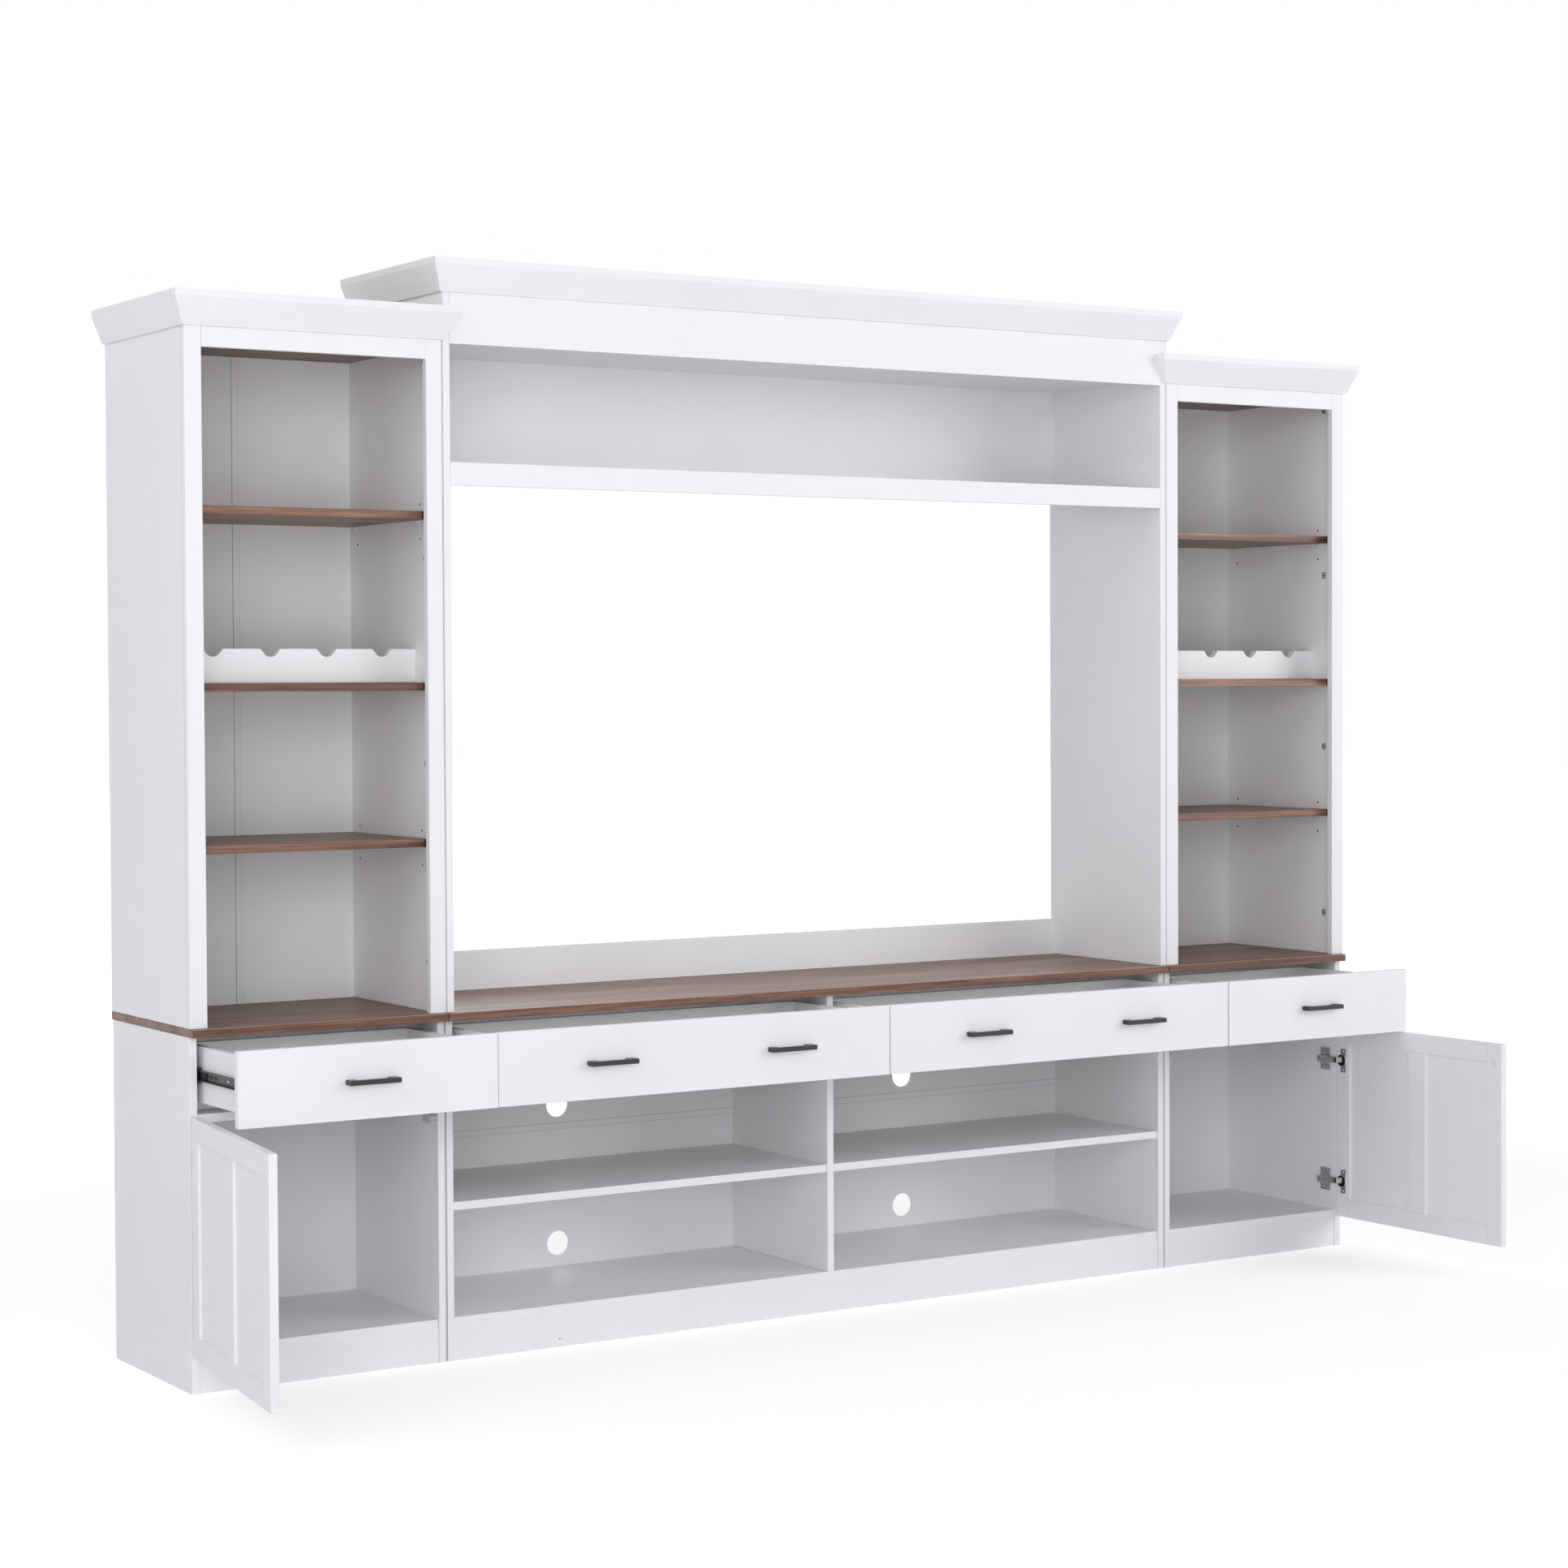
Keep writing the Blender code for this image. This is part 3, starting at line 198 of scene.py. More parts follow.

# Colours, and the places on a ramp where they stand
# Painted light on the slide members' webs, lighter than their black
SLIDE_WEB_PAINTED_LIGHT = (0.062, 0.062, 0.068)
# Painted highlight along the counters' upper front arris
ARRIS_PAINTED_HIGHLIGHT = (0.46, 0.30, 0.25)
COUNTER_JOINT = (0.030, 0.015, 0.012)
# Painted shadow at a tower shelf's end by the stile
SHELF_PAINTED_SHADOW = (0.012, 0.010, 0.010)
# Painted shade on the hinge arm's neck
NECK_PAINTED_SHADE_GREY = (0.14, 0.14, 0.145)
NECK_PAINTED_SHADE_BLACK = (0.02, 0.02, 0.022)
# Painted highlight on the hinge link that enters the cup
LINK_PAINTED_HIGHLIGHT = (0.95, 0.95, 0.96)
LAMINATE_TONES = ((0.30, (0.862, 0.864, 0.882)), (0.70, (0.888, 0.890, 0.906)))
PLATE_TONES = ((0.3, (0.48, 0.48, 0.49)), (0.7, (0.60, 0.60, 0.61)))
FITTING_TONE_PLACES = (0.3, 0.7)
WALNUT_TONES = (
    (0.36, (0.066, 0.028, 0.018)),
    (0.45, (0.142, 0.065, 0.040)),
    (0.54, (0.235, 0.119, 0.077)),
    (0.64, (0.420, 0.240, 0.165)),
)
PORE_TONES = ((0.36, (0.66, 0.62, 0.60)), (0.52, (1, 1, 1)))
PORE_STRENGTH = 0.8

# Noises: scale and detail. Walnut's broad, streak and pore noise start with their stretch along each
# axis and end with a roughness
CLOUD_NOISE = (5.0, 3.0)
FINE_NOISE = (1400.0, 2.0)
HINGE_NOISE = (220.0, 3.0)
FITTING_DETAIL = 3.0
WALNUT_NOISES = (
    ((0.8, 8.0, 8.0), 2.2, 4.0, 0.55),
    ((1.3, 75.0, 75.0), 1.7, 6.0, 0.66),
    ((14.0, 560.0, 560.0), 1.0, 2.0, 0.5),
)
WALNUT_SHIFT = (0.37, 0.61, 0.23)
BROAD_SHARE = 0.42
STREAK_SHARE = 0.58

# Gloss: the least and the most roughness, and each bump's strength and depth
LAMINATE_ROUGHNESS = (0.40, 0.50)
WALNUT_ROUGHNESS = (0.34, 0.48)
PLATE_ROUGHNESS = (0.24, 0.36)
LINK_ROUGHNESS = 0.15
PLATE_METALLIC = 0.75
FITTING_ROUGHNESS_SPREAD = (-0.05, 0.07)
LAMINATE_BUMP = (0.10, 0.0002)
WALNUT_BUMP = (0.18, 0.0002)
FITTING_BUMP = (0.08, 0.0001)

# Finishes of parts of a white node: colour, roughness and metallic
SLIDE_BLACK = ((0.014, 0.014, 0.016), 0.40, 0.0)
HINGE_GREY = ((0.34, 0.34, 0.35), 0.30, 0.9)
# Painted shade inside the hinge cups
CUP_PAINTED_SHADE = ((0.045, 0.045, 0.048), 0.35, 0.6)
CUP_RIM_PALE = ((0.90, 0.90, 0.91), 0.3, 0.0)
STRIKE_PALE = ((0.80, 0.80, 0.81), 0.45, 0.0)
PIN_PALE = ((0.80, 0.80, 0.81), 0.35, 0.0)
# Bare board in the pin holes, painted far darker as painted shade
PIN_HOLE_BARE_AND_SHADE = ((0.030, 0.024, 0.020), 0.9, 0.0)

# The fittings' finishes: name, dark and light colour, roughness, metallic and the scale of their noise
FITTING_FINISHES = {
    "black_metal": ("black_powder_coat", (0.014, 0.014, 0.016), (0.022, 0.022, 0.025), 0.33, 0.0, 900.0),
    "nickel": ("nickel_plate", (0.62, 0.62, 0.63), (0.78, 0.78, 0.79), 0.22, 1.0, 160.0),
    "cam": ("zinc_cam", (0.66, 0.66, 0.67), (0.76, 0.76, 0.77), 0.40, 0.0, 300.0),
    "white_plastic": ("grey_plastic", (0.54, 0.54, 0.56), (0.60, 0.60, 0.62), 0.50, 0.0, 700.0),
    # Painted shade in the rings, bores, slot floors and cross recesses of the fittings, and the real black plastic
    # of the slides' ball cages
    "recess": ("painted_shade_and_black_plastic", (0.010, 0.010, 0.011), (0.020, 0.020, 0.021), 0.6, 0.2, 500.0),
    # Painted shadow on the back strips' edges and in the plinth's small dimple
    "seam": ("painted_shadow_grey", (0.24, 0.24, 0.25), (0.30, 0.30, 0.31), 0.7, 0.0, 500.0),
}

# Sockets of the node that mixes colours or numbers: its two inputs and its output
MIX_COLOUR_SOCKETS = ((6, 7), 2)
MIX_NUMBER_SOCKETS = ((2, 3), 0)

# The camera, from the fit to the photograph
IMAGE_SIZE = 1932
FOCAL_PIXELS = 3960.24
PRINCIPAL_POINT = (1017.33, 952.22)
SENSOR_WIDTH = 36.0
CAMERA_PLACE = (-3.4787, -5.3778, 1.2596)
CAMERA_YAW = radians(32.880)
CAMERA_PITCH = radians(-1.627)
CAMERA_ROLL = radians(-0.239)

# Light: each lamp's place, target, size and power
LAMPS = {
    "key": ((5.0, -5.0, 3.0), (0, 0, 1.0), 4.0, 157),
    "fill": ((-3.6, -5.8, 1.5), (0, 0, 1.1), 4.0, 166),
    "side": ((-4.6, -1.2, 3.6), (-1.3, 0, 1.3), 3.5, 52),
    "rear": ((0.5, 6.0, 3.2), (0, 0, 1.0), 4.0, 75),
}
AMBIENT = (0.94, 0.95, 1.0)
AMBIENT_STRENGTH = 0.40
FLOOR_SIZE = 60.0
FLOOR_NEAR = 2.5
FLOOR_FAR = 8.0
FLOOR_GLOWS = (0.44, 0.95)
FLOOR_GREY = (0.80, 0.80, 0.81, 1)
FLOOR_ROUGHNESS = 0.9
WHITE = (1, 1, 1, 1)
WHITE_STRENGTH = 1.0


class Graph:
    """A material's nodes, added and linked by short calls."""

    def __init__(self, name):
        self.material = bpy.data.materials.new(name)
        self.material.use_nodes = True
        self.nodes = self.material.node_tree.nodes
        self.links = self.material.node_tree.links
        self.shader = self.nodes["Principled BSDF"]

    def add(self, kind, **settings):
        node = self.nodes.new(kind)
        for name, value in settings.items():
            setattr(node, name, value)
        return node

    def feed(self, socket, value):
        if isinstance(value, bpy.types.NodeSocket):
            self.links.new(value, socket)
        else:
            socket.default_value = value

    def math(self, operation, first, second=0.0):
        node = self.add("ShaderNodeMath", operation=operation)
        self.feed(node.inputs[0], first)
        self.feed(node.inputs[1], second)
        return node.outputs[0]

    def dot(self, vector, constant):
        node = self.add("ShaderNodeVectorMath", operation="DOT_PRODUCT")
        self.feed(node.inputs[0], vector)
        self.feed(node.inputs[1], constant)
        return node.outputs["Value"]

    def place(self):
        return self.add("ShaderNodeTexCoord").outputs["Object"]

    def axes(self):
        split = self.add("ShaderNodeSeparateXYZ")
        self.feed(split.inputs[0], self.place())
        return split.outputs["X"], split.outputs["Y"], split.outputs["Z"]

    def scaled(self, scale, shift=(0, 0, 0)):
        node = self.add("ShaderNodeMapping")
        self.feed(node.inputs["Vector"], self.place())
        self.feed(node.inputs["Scale"], scale)
        self.feed(node.inputs["Location"], shift)
        return node.outputs["Vector"]

    def noise(self, vector, scale, detail=2.0, roughness=0.5):
        node = self.add("ShaderNodeTexNoise")
        self.feed(node.inputs["Vector"], vector)
        self.feed(node.inputs["Scale"], scale)
        self.feed(node.inputs["Detail"], detail)
        self.feed(node.inputs["Roughness"], roughness)
        return node.outputs["Fac"]

    def ramp(self, factor, stops):
        node = self.add("ShaderNodeValToRGB")
        self.feed(node.inputs["Fac"], factor)
        elements = node.color_ramp.elements
        while len(elements) < len(stops):
            elements.new(0.5)
        for element, (position, colour) in zip(elements, stops):
            element.position = position
            element.color = (*colour, 1)
        return node.outputs["Color"]

    def mix(self, factor, first, second, blend="MIX"):
        """The first colour where the factor is 0, and the second where it is 1."""
        node = self.add("ShaderNodeMix", data_type="RGBA", blend_type=blend)
        sockets, output = MIX_COLOUR_SOCKETS
        self.feed(node.inputs[0], factor)
        for socket, colour in zip(sockets, (first, second)):
            linked = isinstance(colour, bpy.types.NodeSocket)
            self.feed(node.inputs[socket], colour if linked else (*colour, 1))
        return node.outputs[output]

    def blend(self, factor, first, second):
        """The first number where the factor is 0, and the second where it is 1."""
        node = self.add("ShaderNodeMix", data_type="FLOAT")
        sockets, output = MIX_NUMBER_SOCKETS
        self.feed(node.inputs[0], factor)
        for socket, number in zip(sockets, (first, second)):
            self.feed(node.inputs[socket], number)
        return node.outputs[output]

    def below(self, value, limit):
        return self.math("LESS_THAN", value, limit)

    def above(self, value, limit):
        return self.math("GREATER_THAN", value, limit)

    def both(self, *masks):
        result = masks[0]
        for mask in masks[1:]:
            result = self.math("MULTIPLY", result, mask)
        return result

    def either(self, *masks):
        result = masks[0]
        for mask in masks[1:]:
            result = self.math("MAXIMUM", result, mask)
        return result

    def span(self, value, low, high):
        """1 where the value lies between low and high, else 0."""
        return self.both(self.above(value, low), self.below(value, high))

    def away(self, value, *places):
        """How far the value is from the nearest of the places."""
        result = None
        for place in places:
            distance = self.math("ABSOLUTE", self.math("SUBTRACT", value, place))
            result = distance if result is None else self.math("MINIMUM", result, distance)
        return result

    def length(self, first, second):
        squares = [self.math("MULTIPLY", part, part) for part in (first, second)]
        return self.math("SQRT", self.math("ADD", *squares))

    def remap(self, value, low, high, start=0.0, end=1.0):
        node = self.add("ShaderNodeMapRange")
        self.feed(node.inputs["Value"], value)
        self.feed(node.inputs["From Min"], start)
        self.feed(node.inputs["From Max"], end)
        self.feed(node.inputs["To Min"], low)
        self.feed(node.inputs["To Max"], high)
        return node.outputs["Result"]

    def bump(self, height, strength, distance):
        node = self.add("ShaderNodeBump")
        self.feed(node.inputs["Height"], height)
        self.feed(node.inputs["Strength"], strength)
        self.feed(node.inputs["Distance"], distance)
        self.links.new(node.outputs["Normal"], self.shader.inputs["Normal"])


class Laminate(Graph):
    """White laminate, over which parts of a node may get another colour or another finish."""

    def __init__(self, name):
        super().__init__(name)
        cloud = self.noise(self.place(), *CLOUD_NOISE)
        fine = self.noise(self.place(), *FINE_NOISE)
        self.bump(fine, *LAMINATE_BUMP)
        self.colour = self.ramp(cloud, LAMINATE_TONES)
        self.roughness = self.remap(cloud, *LAMINATE_ROUGHNESS)
        self.metallic = None

    def paint(self, mask, colour):
        self.colour = self.mix(mask, self.colour, colour)

    def cover(self, mask, finish):
        """Gives what the mask takes in another colour, roughness and metallic."""
        colour, roughness, metallic = finish
        self.paint(mask, colour)
        self.roughness = self.blend(mask, self.roughness, roughness)
        if metallic:
            before = 0.0 if self.metallic is None else self.metallic
            self.metallic = self.blend(mask, before, metallic)

    def shade_joint(self, node):
        """The dark line on a board's front edge where the tower and the console stand side by side."""
        if node not in UNIT_JOINTS:
            return
        half, colour = UNIT_JOINTS[node]
        low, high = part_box(node)
        x, y, z = self.axes()
        beside = self.below(self.away(self.math("ABSOLUTE", x), UNIT_JOINT), half)
        self.paint(self.both(beside, self.below(y, low[1] + TRIM_GAP)), colour)

    def finish(self):
        self.feed(self.shader.inputs["Base Color"], self.colour)
        self.feed(self.shader.inputs["Roughness"], self.roughness)
        if self.metallic is not None:
            self.feed(self.shader.inputs["Metallic"], self.metallic)
        return self.material


def make_slide_board(node, spans):
    """White board with black slide members, which lie in the given spans along X, and painted light on a drawer
    box's webs.
    """
    graph = Laminate(f"{node}_finish")
    x, y, z = graph.axes()
    level = graph.span(z, SLIDE_HEIGHT - SLIDE_HALF_TALL, SLIDE_HEIGHT + SLIDE_HALF_TALL)
    inside = graph.either(*[graph.span(x, low, high) for low, high in spans])
    graph.cover(graph.both(level, inside), SLIDE_BLACK)
    if node.endswith("_box"):
        # The webs are painted lighter grey than the black flanges: painted light
        webs = (spans[0][0] + SLIDE_SPACE - SLIDE_SHEET, spans[1][1] - SLIDE_SPACE + SLIDE_SHEET)
        middle = graph.below(graph.away(z, SLIDE_HEIGHT), SLIDE_WEB_HALF_TALL)
        graph.paint(graph.both(middle, graph.below(graph.away(x, *webs), WEB_LINE_HALF)), SLIDE_WEB_PAINTED_LIGHT)
    graph.shade_joint(node)
    return graph.finish()


def make_hutch_side(node, side, hand):
    """White board with pin holes of bare board painted dark with painted shade, pale pins and the joint line of
    the stile on its outer face.
    """
    graph = Laminate(f"{node}_finish")
    x, y, z = graph.axes()
    sign = SIDE_SIGNS[side]
    into = -sign if hand == "outer" else sign
    outer_face = sign * HALF_WIDTH if hand == "outer" else sign * (HALF_WIDTH - TOWER_WIDTH)
    inward = graph.math("MULTIPLY", graph.math("SUBTRACT", x, outer_face), into)
    at_face = graph.below(inward, TRIM_GAP)
    at_joint = graph.below(graph.away(y, FRONT + HUTCH_SETBACK), SEAM_HALF)
    graph.paint(graph.both(at_face, at_joint), SEAM_GREY)
    heights = [height + step * PIN_PITCH for height in PIN_HEIGHTS for step in (-1, 1)]
    near = graph.length(graph.away(y, *PIN_PLACES), graph.away(z, *heights))
    # The holes' walls and floors: bare board, painted dark with painted shade
    bored = graph.span(inward, BOARD - PIN_HOLE_DEPTH - TRIM_GAP, BOARD - TRIM_GAP)
    graph.cover(graph.both(graph.below(near, PIN_RADIUS + TRIM_GAP), bored), PIN_HOLE_BARE_AND_SHADE)
    pins = graph.both(graph.above(inward, BOARD + TRIM_GAP), graph.above(y, PIN_PLACES[0] / 2))
    graph.cover(pins, PIN_PALE)
    graph.shade_joint(node)
    return graph.finish()


def make_bridge_side(node):
    """White board with nothing but the dark joint line on its front edge."""
    graph = Laminate(f"{node}_finish")
    graph.shade_joint(node)
    return graph.finish()


def make_crown(node, middle, half_width, bottom):
    """White crown, with the joint line behind the front board on both returns."""
    graph = Laminate(f"{node}_finish")
    x, y, z = graph.axes()
    slope = (CROWN_PROJECTION - CROWN_FOOT) / CROWN_SLOPE_HEIGHT
    climb = graph.math("MULTIPLY", graph.math("SUBTRACT", z, bottom), slope)
    out = graph.math("MINIMUM", graph.math("ADD", climb, CROWN_FOOT), CROWN_PROJECTION)
    behind = graph.math("ADD", graph.math("SUBTRACT", y, FRONT + HUTCH_SETBACK - BOARD), out)
    line = graph.below(graph.away(behind, CROWN_SEAM), SEAM_HALF)
    beside = graph.above(graph.away(x, middle), half_width + TRIM_GAP)
    graph.paint(graph.both(line, beside), FAINT_SEAM_GREY)
    return graph.finish()


def door_frame(side):
    """The hinge axis, the way along the door from its hinged edge, and the inner face's normal, as shown."""
    sign = SIDE_SIGNS[side]
    joint = next(j for j in frame["joints"] if j["name"] == f"{side}_door_hinge")
    turn = -sign * radians(joint["range_deg"][0])
    axis = Vector((joint["pos_m"][0], joint["pos_m"][1], 0))
    turned = Matrix.Rotation(turn, 3, "Z")
    return axis, turned @ Vector((-sign, 0, 0)), turned @ Vector((0, 1, 0))


def make_door(node, side):
    """White door: joint lines of its frame, plated flanges, cups painted dark as painted shade with pale rims, and
    a pale strike.
    """
    graph = Laminate(f"{node}_finish")
    hinge, along, normal = door_frame(side)
    x, y, z = graph.axes()
    place = graph.place()
    depth = graph.math("SUBTRACT", graph.dot(place, tuple(normal)), hinge.dot(normal))
    reach = graph.math("SUBTRACT", graph.dot(place, tuple(along)), hinge.dot(along) - PIVOT_INSET)
    panel_low, panel_high = DOOR_HEIGHTS[0] + DOOR_RAIL, DOOR_HEIGHTS[1] - DOOR_RAIL
    rails = graph.either(graph.below(z, panel_low), graph.above(z, panel_high))
    joints = graph.below(graph.away(reach, DOOR_STILE, DOOR_WIDTH - DOOR_STILE), SEAM_HALF)
    graph.paint(graph.both(rails, joints), FAINT_SEAM_GREY)
    centre = graph.below(graph.away(reach, DOOR_WIDTH / 2), DOOR_CENTRE_STILE / 2)
    ends = graph.below(graph.away(z, panel_low, panel_high), SEAM_HALF)
    graph.paint(graph.both(centre, ends), FAINT_SEAM_GREY)
    proud = graph.above(depth, PIVOT_DEPTH + TRIM_GAP)
    free_half = graph.above(reach, DOOR_WIDTH / 2)
    graph.cover(graph.both(proud, free_half), STRIKE_PALE)
    graph.cover(graph.both(proud, graph.below(reach, DOOR_WIDTH / 2)), HINGE_GREY)
    rise = graph.away(z, *HINGE_HEIGHTS.values())
    round_part = graph.below(graph.length(graph.away(reach, CUP_INSET), rise), CUP_RADIUS + TRIM_GAP)
    slot_part = graph.both(
        graph.span(reach, CUP_SLOT_WALL - TRIM_GAP, CUP_INSET),
        graph.below(rise, CUP_SLOT_HALF_TALL + TRIM_GAP),
    )
    ring = graph.below(graph.away(graph.length(graph.away(reach, CUP_INSET), rise), CUP_RIM), CUP_RIM_HALF)
    graph.cover(graph.both(ring, graph.above(depth, PIVOT_DEPTH - TRIM_GAP)), CUP_RIM_PALE)
    # The sunk cup and its slot are painted dark: painted shade
    sunk = graph.span(depth, PIVOT_DEPTH - CUP_DEPTH - TRIM_GAP, PIVOT_DEPTH + FLANGE_THICKNESS - TRIM_GAP)
    graph.cover(graph.both(graph.either(round_part, slot_part), sunk), CUP_PAINTED_SHADE)
    return graph.finish()


def make_walnut(node, shift):
    """Walnut laminate: long streaks along X, fine pores and slow changes of tone, moved by the shift.

    A counter has a painted highlight along its upper front arris and a dark joint line between tower and console.
    A tower's shelf has a painted shadow at its end by the stile.
    """
    graph = Graph(f"walnut_{node}")
    broad, streak, pore = [graph.noise(graph.scaled(axes, shift), *noise) for axes, *noise in WALNUT_NOISES]
    slow = graph.math("MULTIPLY", broad, BROAD_SHARE)
    quick = graph.math("MULTIPLY", streak, STREAK_SHARE)
    base = graph.ramp(graph.math("ADD", slow, quick), WALNUT_TONES)
    colour = graph.mix(PORE_STRENGTH, base, graph.ramp(pore, PORE_TONES), "MULTIPLY")
    x, y, z = graph.axes()
    if node.endswith("_counter"):
        front = graph.below(y, FRONT - COUNTER_NOSE + ARRIS_DEPTH)
        # The upper front arris is painted lighter: a painted highlight
        arris = graph.both(front, graph.above(z, COUNTER_TOP - ARRIS_HEIGHT))
        colour = graph.mix(arris, colour, ARRIS_PAINTED_HIGHLIGHT)
        joint = graph.below(graph.away(graph.math("ABSOLUTE", x), UNIT_JOINT), COUNTER_JOINT_HALF)
        colour = graph.mix(graph.both(joint, front), colour, COUNTER_JOINT)
    if node.endswith("_shelf"):
        low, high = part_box(node)
        # The front edge's last stretch by the stile is painted dark: painted shadow
        end = graph.above(x, high[0] - SHELF_ENDS[node.split("_")[0]])
        colour = graph.mix(graph.both(end, graph.below(y, low[1] + TRIM_GAP)), colour, SHELF_PAINTED_SHADOW)
    graph.feed(graph.shader.inputs["Base Color"], colour)
    graph.feed(graph.shader.inputs["Roughness"], graph.remap(streak, *WALNUT_ROUGHNESS))
    graph.bump(pore, *WALNUT_BUMP)
    return graph.material


def make_plain(name, dark, light, roughness, metallic, grain):
    """A fitting's finish, whose colour and gloss vary a little."""
    graph = Graph(name)
    worn = graph.noise(graph.place(), grain, FITTING_DETAIL)
    tones = list(zip(FITTING_TONE_PLACES, (dark, light)))
    less, more = FITTING_ROUGHNESS_SPREAD
    graph.feed(graph.shader.inputs["Base Color"], graph.ramp(worn, tones))
    graph.feed(graph.shader.inputs["Roughness"], graph.remap(worn, roughness + less, roughness + more))
    graph.shader.inputs["Metallic"].default_value = metallic
    graph.bump(worn, *FITTING_BUMP)
    return graph.material


def make_hinge_metal(node):
    """Nickel, with painted shade on the arm's neck and a painted highlight on the link that enters the cup."""
    graph = Graph(f"{node}_finish")
    worn = graph.noise(graph.place(), *HINGE_NOISE)
    x, y, z = graph.axes()
    link = graph.below(y, ARM_LINK)
    arm = graph.below(y, ARM_START)
    plate = graph.ramp(worn, PLATE_TONES)
    # The arm's neck is painted dark grey, and black towards the link: painted shade
    neck = graph.mix(graph.below(y, ARM_NECK), NECK_PAINTED_SHADE_GREY, NECK_PAINTED_SHADE_BLACK)
    shaded = graph.mix(arm, plate, neck)
    # The link is painted near white: a painted highlight
    graph.feed(graph.shader.inputs["Base Color"], graph.mix(link, shaded, LINK_PAINTED_HIGHLIGHT))
    graph.feed(graph.shader.inputs["Metallic"], graph.blend(arm, PLATE_METALLIC, 0.0))
    roughness = graph.blend(link, graph.remap(worn, *PLATE_ROUGHNESS), LINK_ROUGHNESS)
    graph.feed(graph.shader.inputs["Roughness"], roughness)
    graph.bump(worn, *FITTING_BUMP)
    return graph.material


def add_piece(name, bm, materials, body):
    """Turns what was built into a piece that rides on the body and takes its finish from the slot."""
    bmesh.ops.recalc_face_normals(bm, faces=bm.faces)
    mesh = bpy.data.meshes.new(name)
    bm.to_mesh(mesh)
    bm.free()
    for material in materials:
        mesh.materials.append(material)
    obj = bpy.data.objects.new(name, mesh)
    bpy.context.scene.collection.objects.link(obj)
    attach(obj, body)


def turned_to(centre, direction):
    """A frame whose Z points along the direction and whose Y points up, or to the wall where Z points up."""
    z = Vector(direction).normalized()
    up = Vector((0, 0, 1)) if z.xy.length else Vector((0, 1, 0))
    x = up.cross(z).normalized()
    y = z.cross(x)
    rotation = Matrix((x, y, z)).transposed().to_4x4()
    return Matrix.Translation(centre) @ rotation


def add_turned(bm, centre, direction, radius, proud, shares, materials=TOP_SECOND, stretch=0.0):
    """A turned or stretched round shape whose profile is given in shares of its radius and height."""
    spot = turned_to(centre, direction)
    wall_material, top_material = materials
    rings = []
    for out, up in shares:
        ring = []
        for step in range(ROUND_SIDES):
            angle = 2 * pi * (step + 0.5) / ROUND_SIDES
            lengthwise = stretch if cos(angle) > 0 else -stretch
            point = Vector((radius * out * cos(angle) + lengthwise, radius * out * sin(angle), proud * up))
            ring.append(bm.verts.new(spot @ point))
        rings.append(ring)
    for lower, upper in zip(rings, rings[1:]):
        for step in range(ROUND_SIDES):
            following = (step + 1) % ROUND_SIDES
            face = bm.faces.new((lower[step], lower[following], upper[following], upper[step]))
            face.smooth = True
            face.material_index = wall_material
    bm.faces.new(rings[-1]).material_index = top_material
    bm.faces.new(list(reversed(rings[0]))).material_index = wall_material


def add_ring(bm, centre, direction, radius, proud):
    """A thin disc of the second material, which shows as a ring round the head that stands on it; in the dark
    finish it is a painted shadow.
    """
    add_turned(bm, centre, direction, radius, proud, DISC_PROFILE_SHARES, ALL_SECOND)


def add_head(bm, centre, direction, radius, proud):
    """A pan screw head with a dished middle and a cross recess, whose shade is painted as a dark inlay."""
    add_turned(bm, centre, direction, radius, proud, HEAD_PROFILE_SHARES)
    spot = turned_to(centre, direction)
    length = radius * CROSS_LENGTH_SHARE
    width = radius * CROSS_WIDTH_SHARE
    # The cross recess's shade, painted as a dark inlay on the head
    for across, tall in ((length, width), (width, length)):
        corners = [(-across, -tall), (across, -tall), (across, tall), (-across, tall)]
        inlay = [bm.verts.new(spot @ Vector((x, y, proud + CROSS_PROUD))) for x, y in corners]
        bm.faces.new(inlay).material_index = 1


def add_bar(bm, low, high, index=0):
    """A bar between two corners, in the piece's material of that index."""
    made = bmesh.ops.create_cube(bm, size=1.0)["verts"]
    size = Vector(high) - Vector(low)
    middle = (Vector(high) + Vector(low)) / 2
    for vert in made:
        vert.co = Vector([vert.co[axis] * size[axis] + middle[axis] for axis in range(3)])
    for face in {face for vert in made for face in vert.link_faces}:
        face.material_index = index


def tower_middle(sign):
    """Where the middle of a tower's width lies along X."""
    return sign * (HALF_WIDTH - TOWER_WIDTH / 2)


def tower_board(sign, hand):
    """Where the inner face of a tower's outer or inner side board lies along X, and which way it looks."""
    if hand == "outer":
        return sign * (HALF_WIDTH - BOARD), -sign
    return sign * (HALF_WIDTH - TOWER_WIDTH + BOARD), sign


def make_finishes():
    """The finishes that several pieces or nodes share."""
    finishes = {"white_board": Laminate("white_laminate").finish()}
    for name, settings in FITTING_FINISHES.items():
        finishes[name] = make_plain(*settings)
    return finishes


def node_finish(node, number, slot):
    """The finish of one CAD node, whose number sets apart the grain of each walnut board."""
    side = node.split("_")[0]
    if slot == "walnut_board":
        return make_walnut(node, [step * number for step in WALNUT_SHIFT])
    if node in SLIDE_SPANS:
        return make_slide_board(node, SLIDE_SPANS[node])
    if node.endswith("_door"):
        return make_door(node, side)
    if node.endswith("_hinge"):
        return make_hinge_metal(node)
    if "_hutch_" in node and node.endswith("_side"):
        return make_hutch_side(node, side, node.split("_")[2])
    if node in ("bridge_left_side", "bridge_right_side"):
        return make_bridge_side(node)
    if node == "bridge_crown":
        return make_crown(node, 0, HALF_CONSOLE, CROWN_BOTTOMS["bridge"])
    if node.endswith("_crown"):
        return make_crown(node, tower_middle(SIDE_SIGNS[side]), TOWER_WIDTH / 2, CROWN_BOTTOMS["tower"])
    return FINISHES[slot]


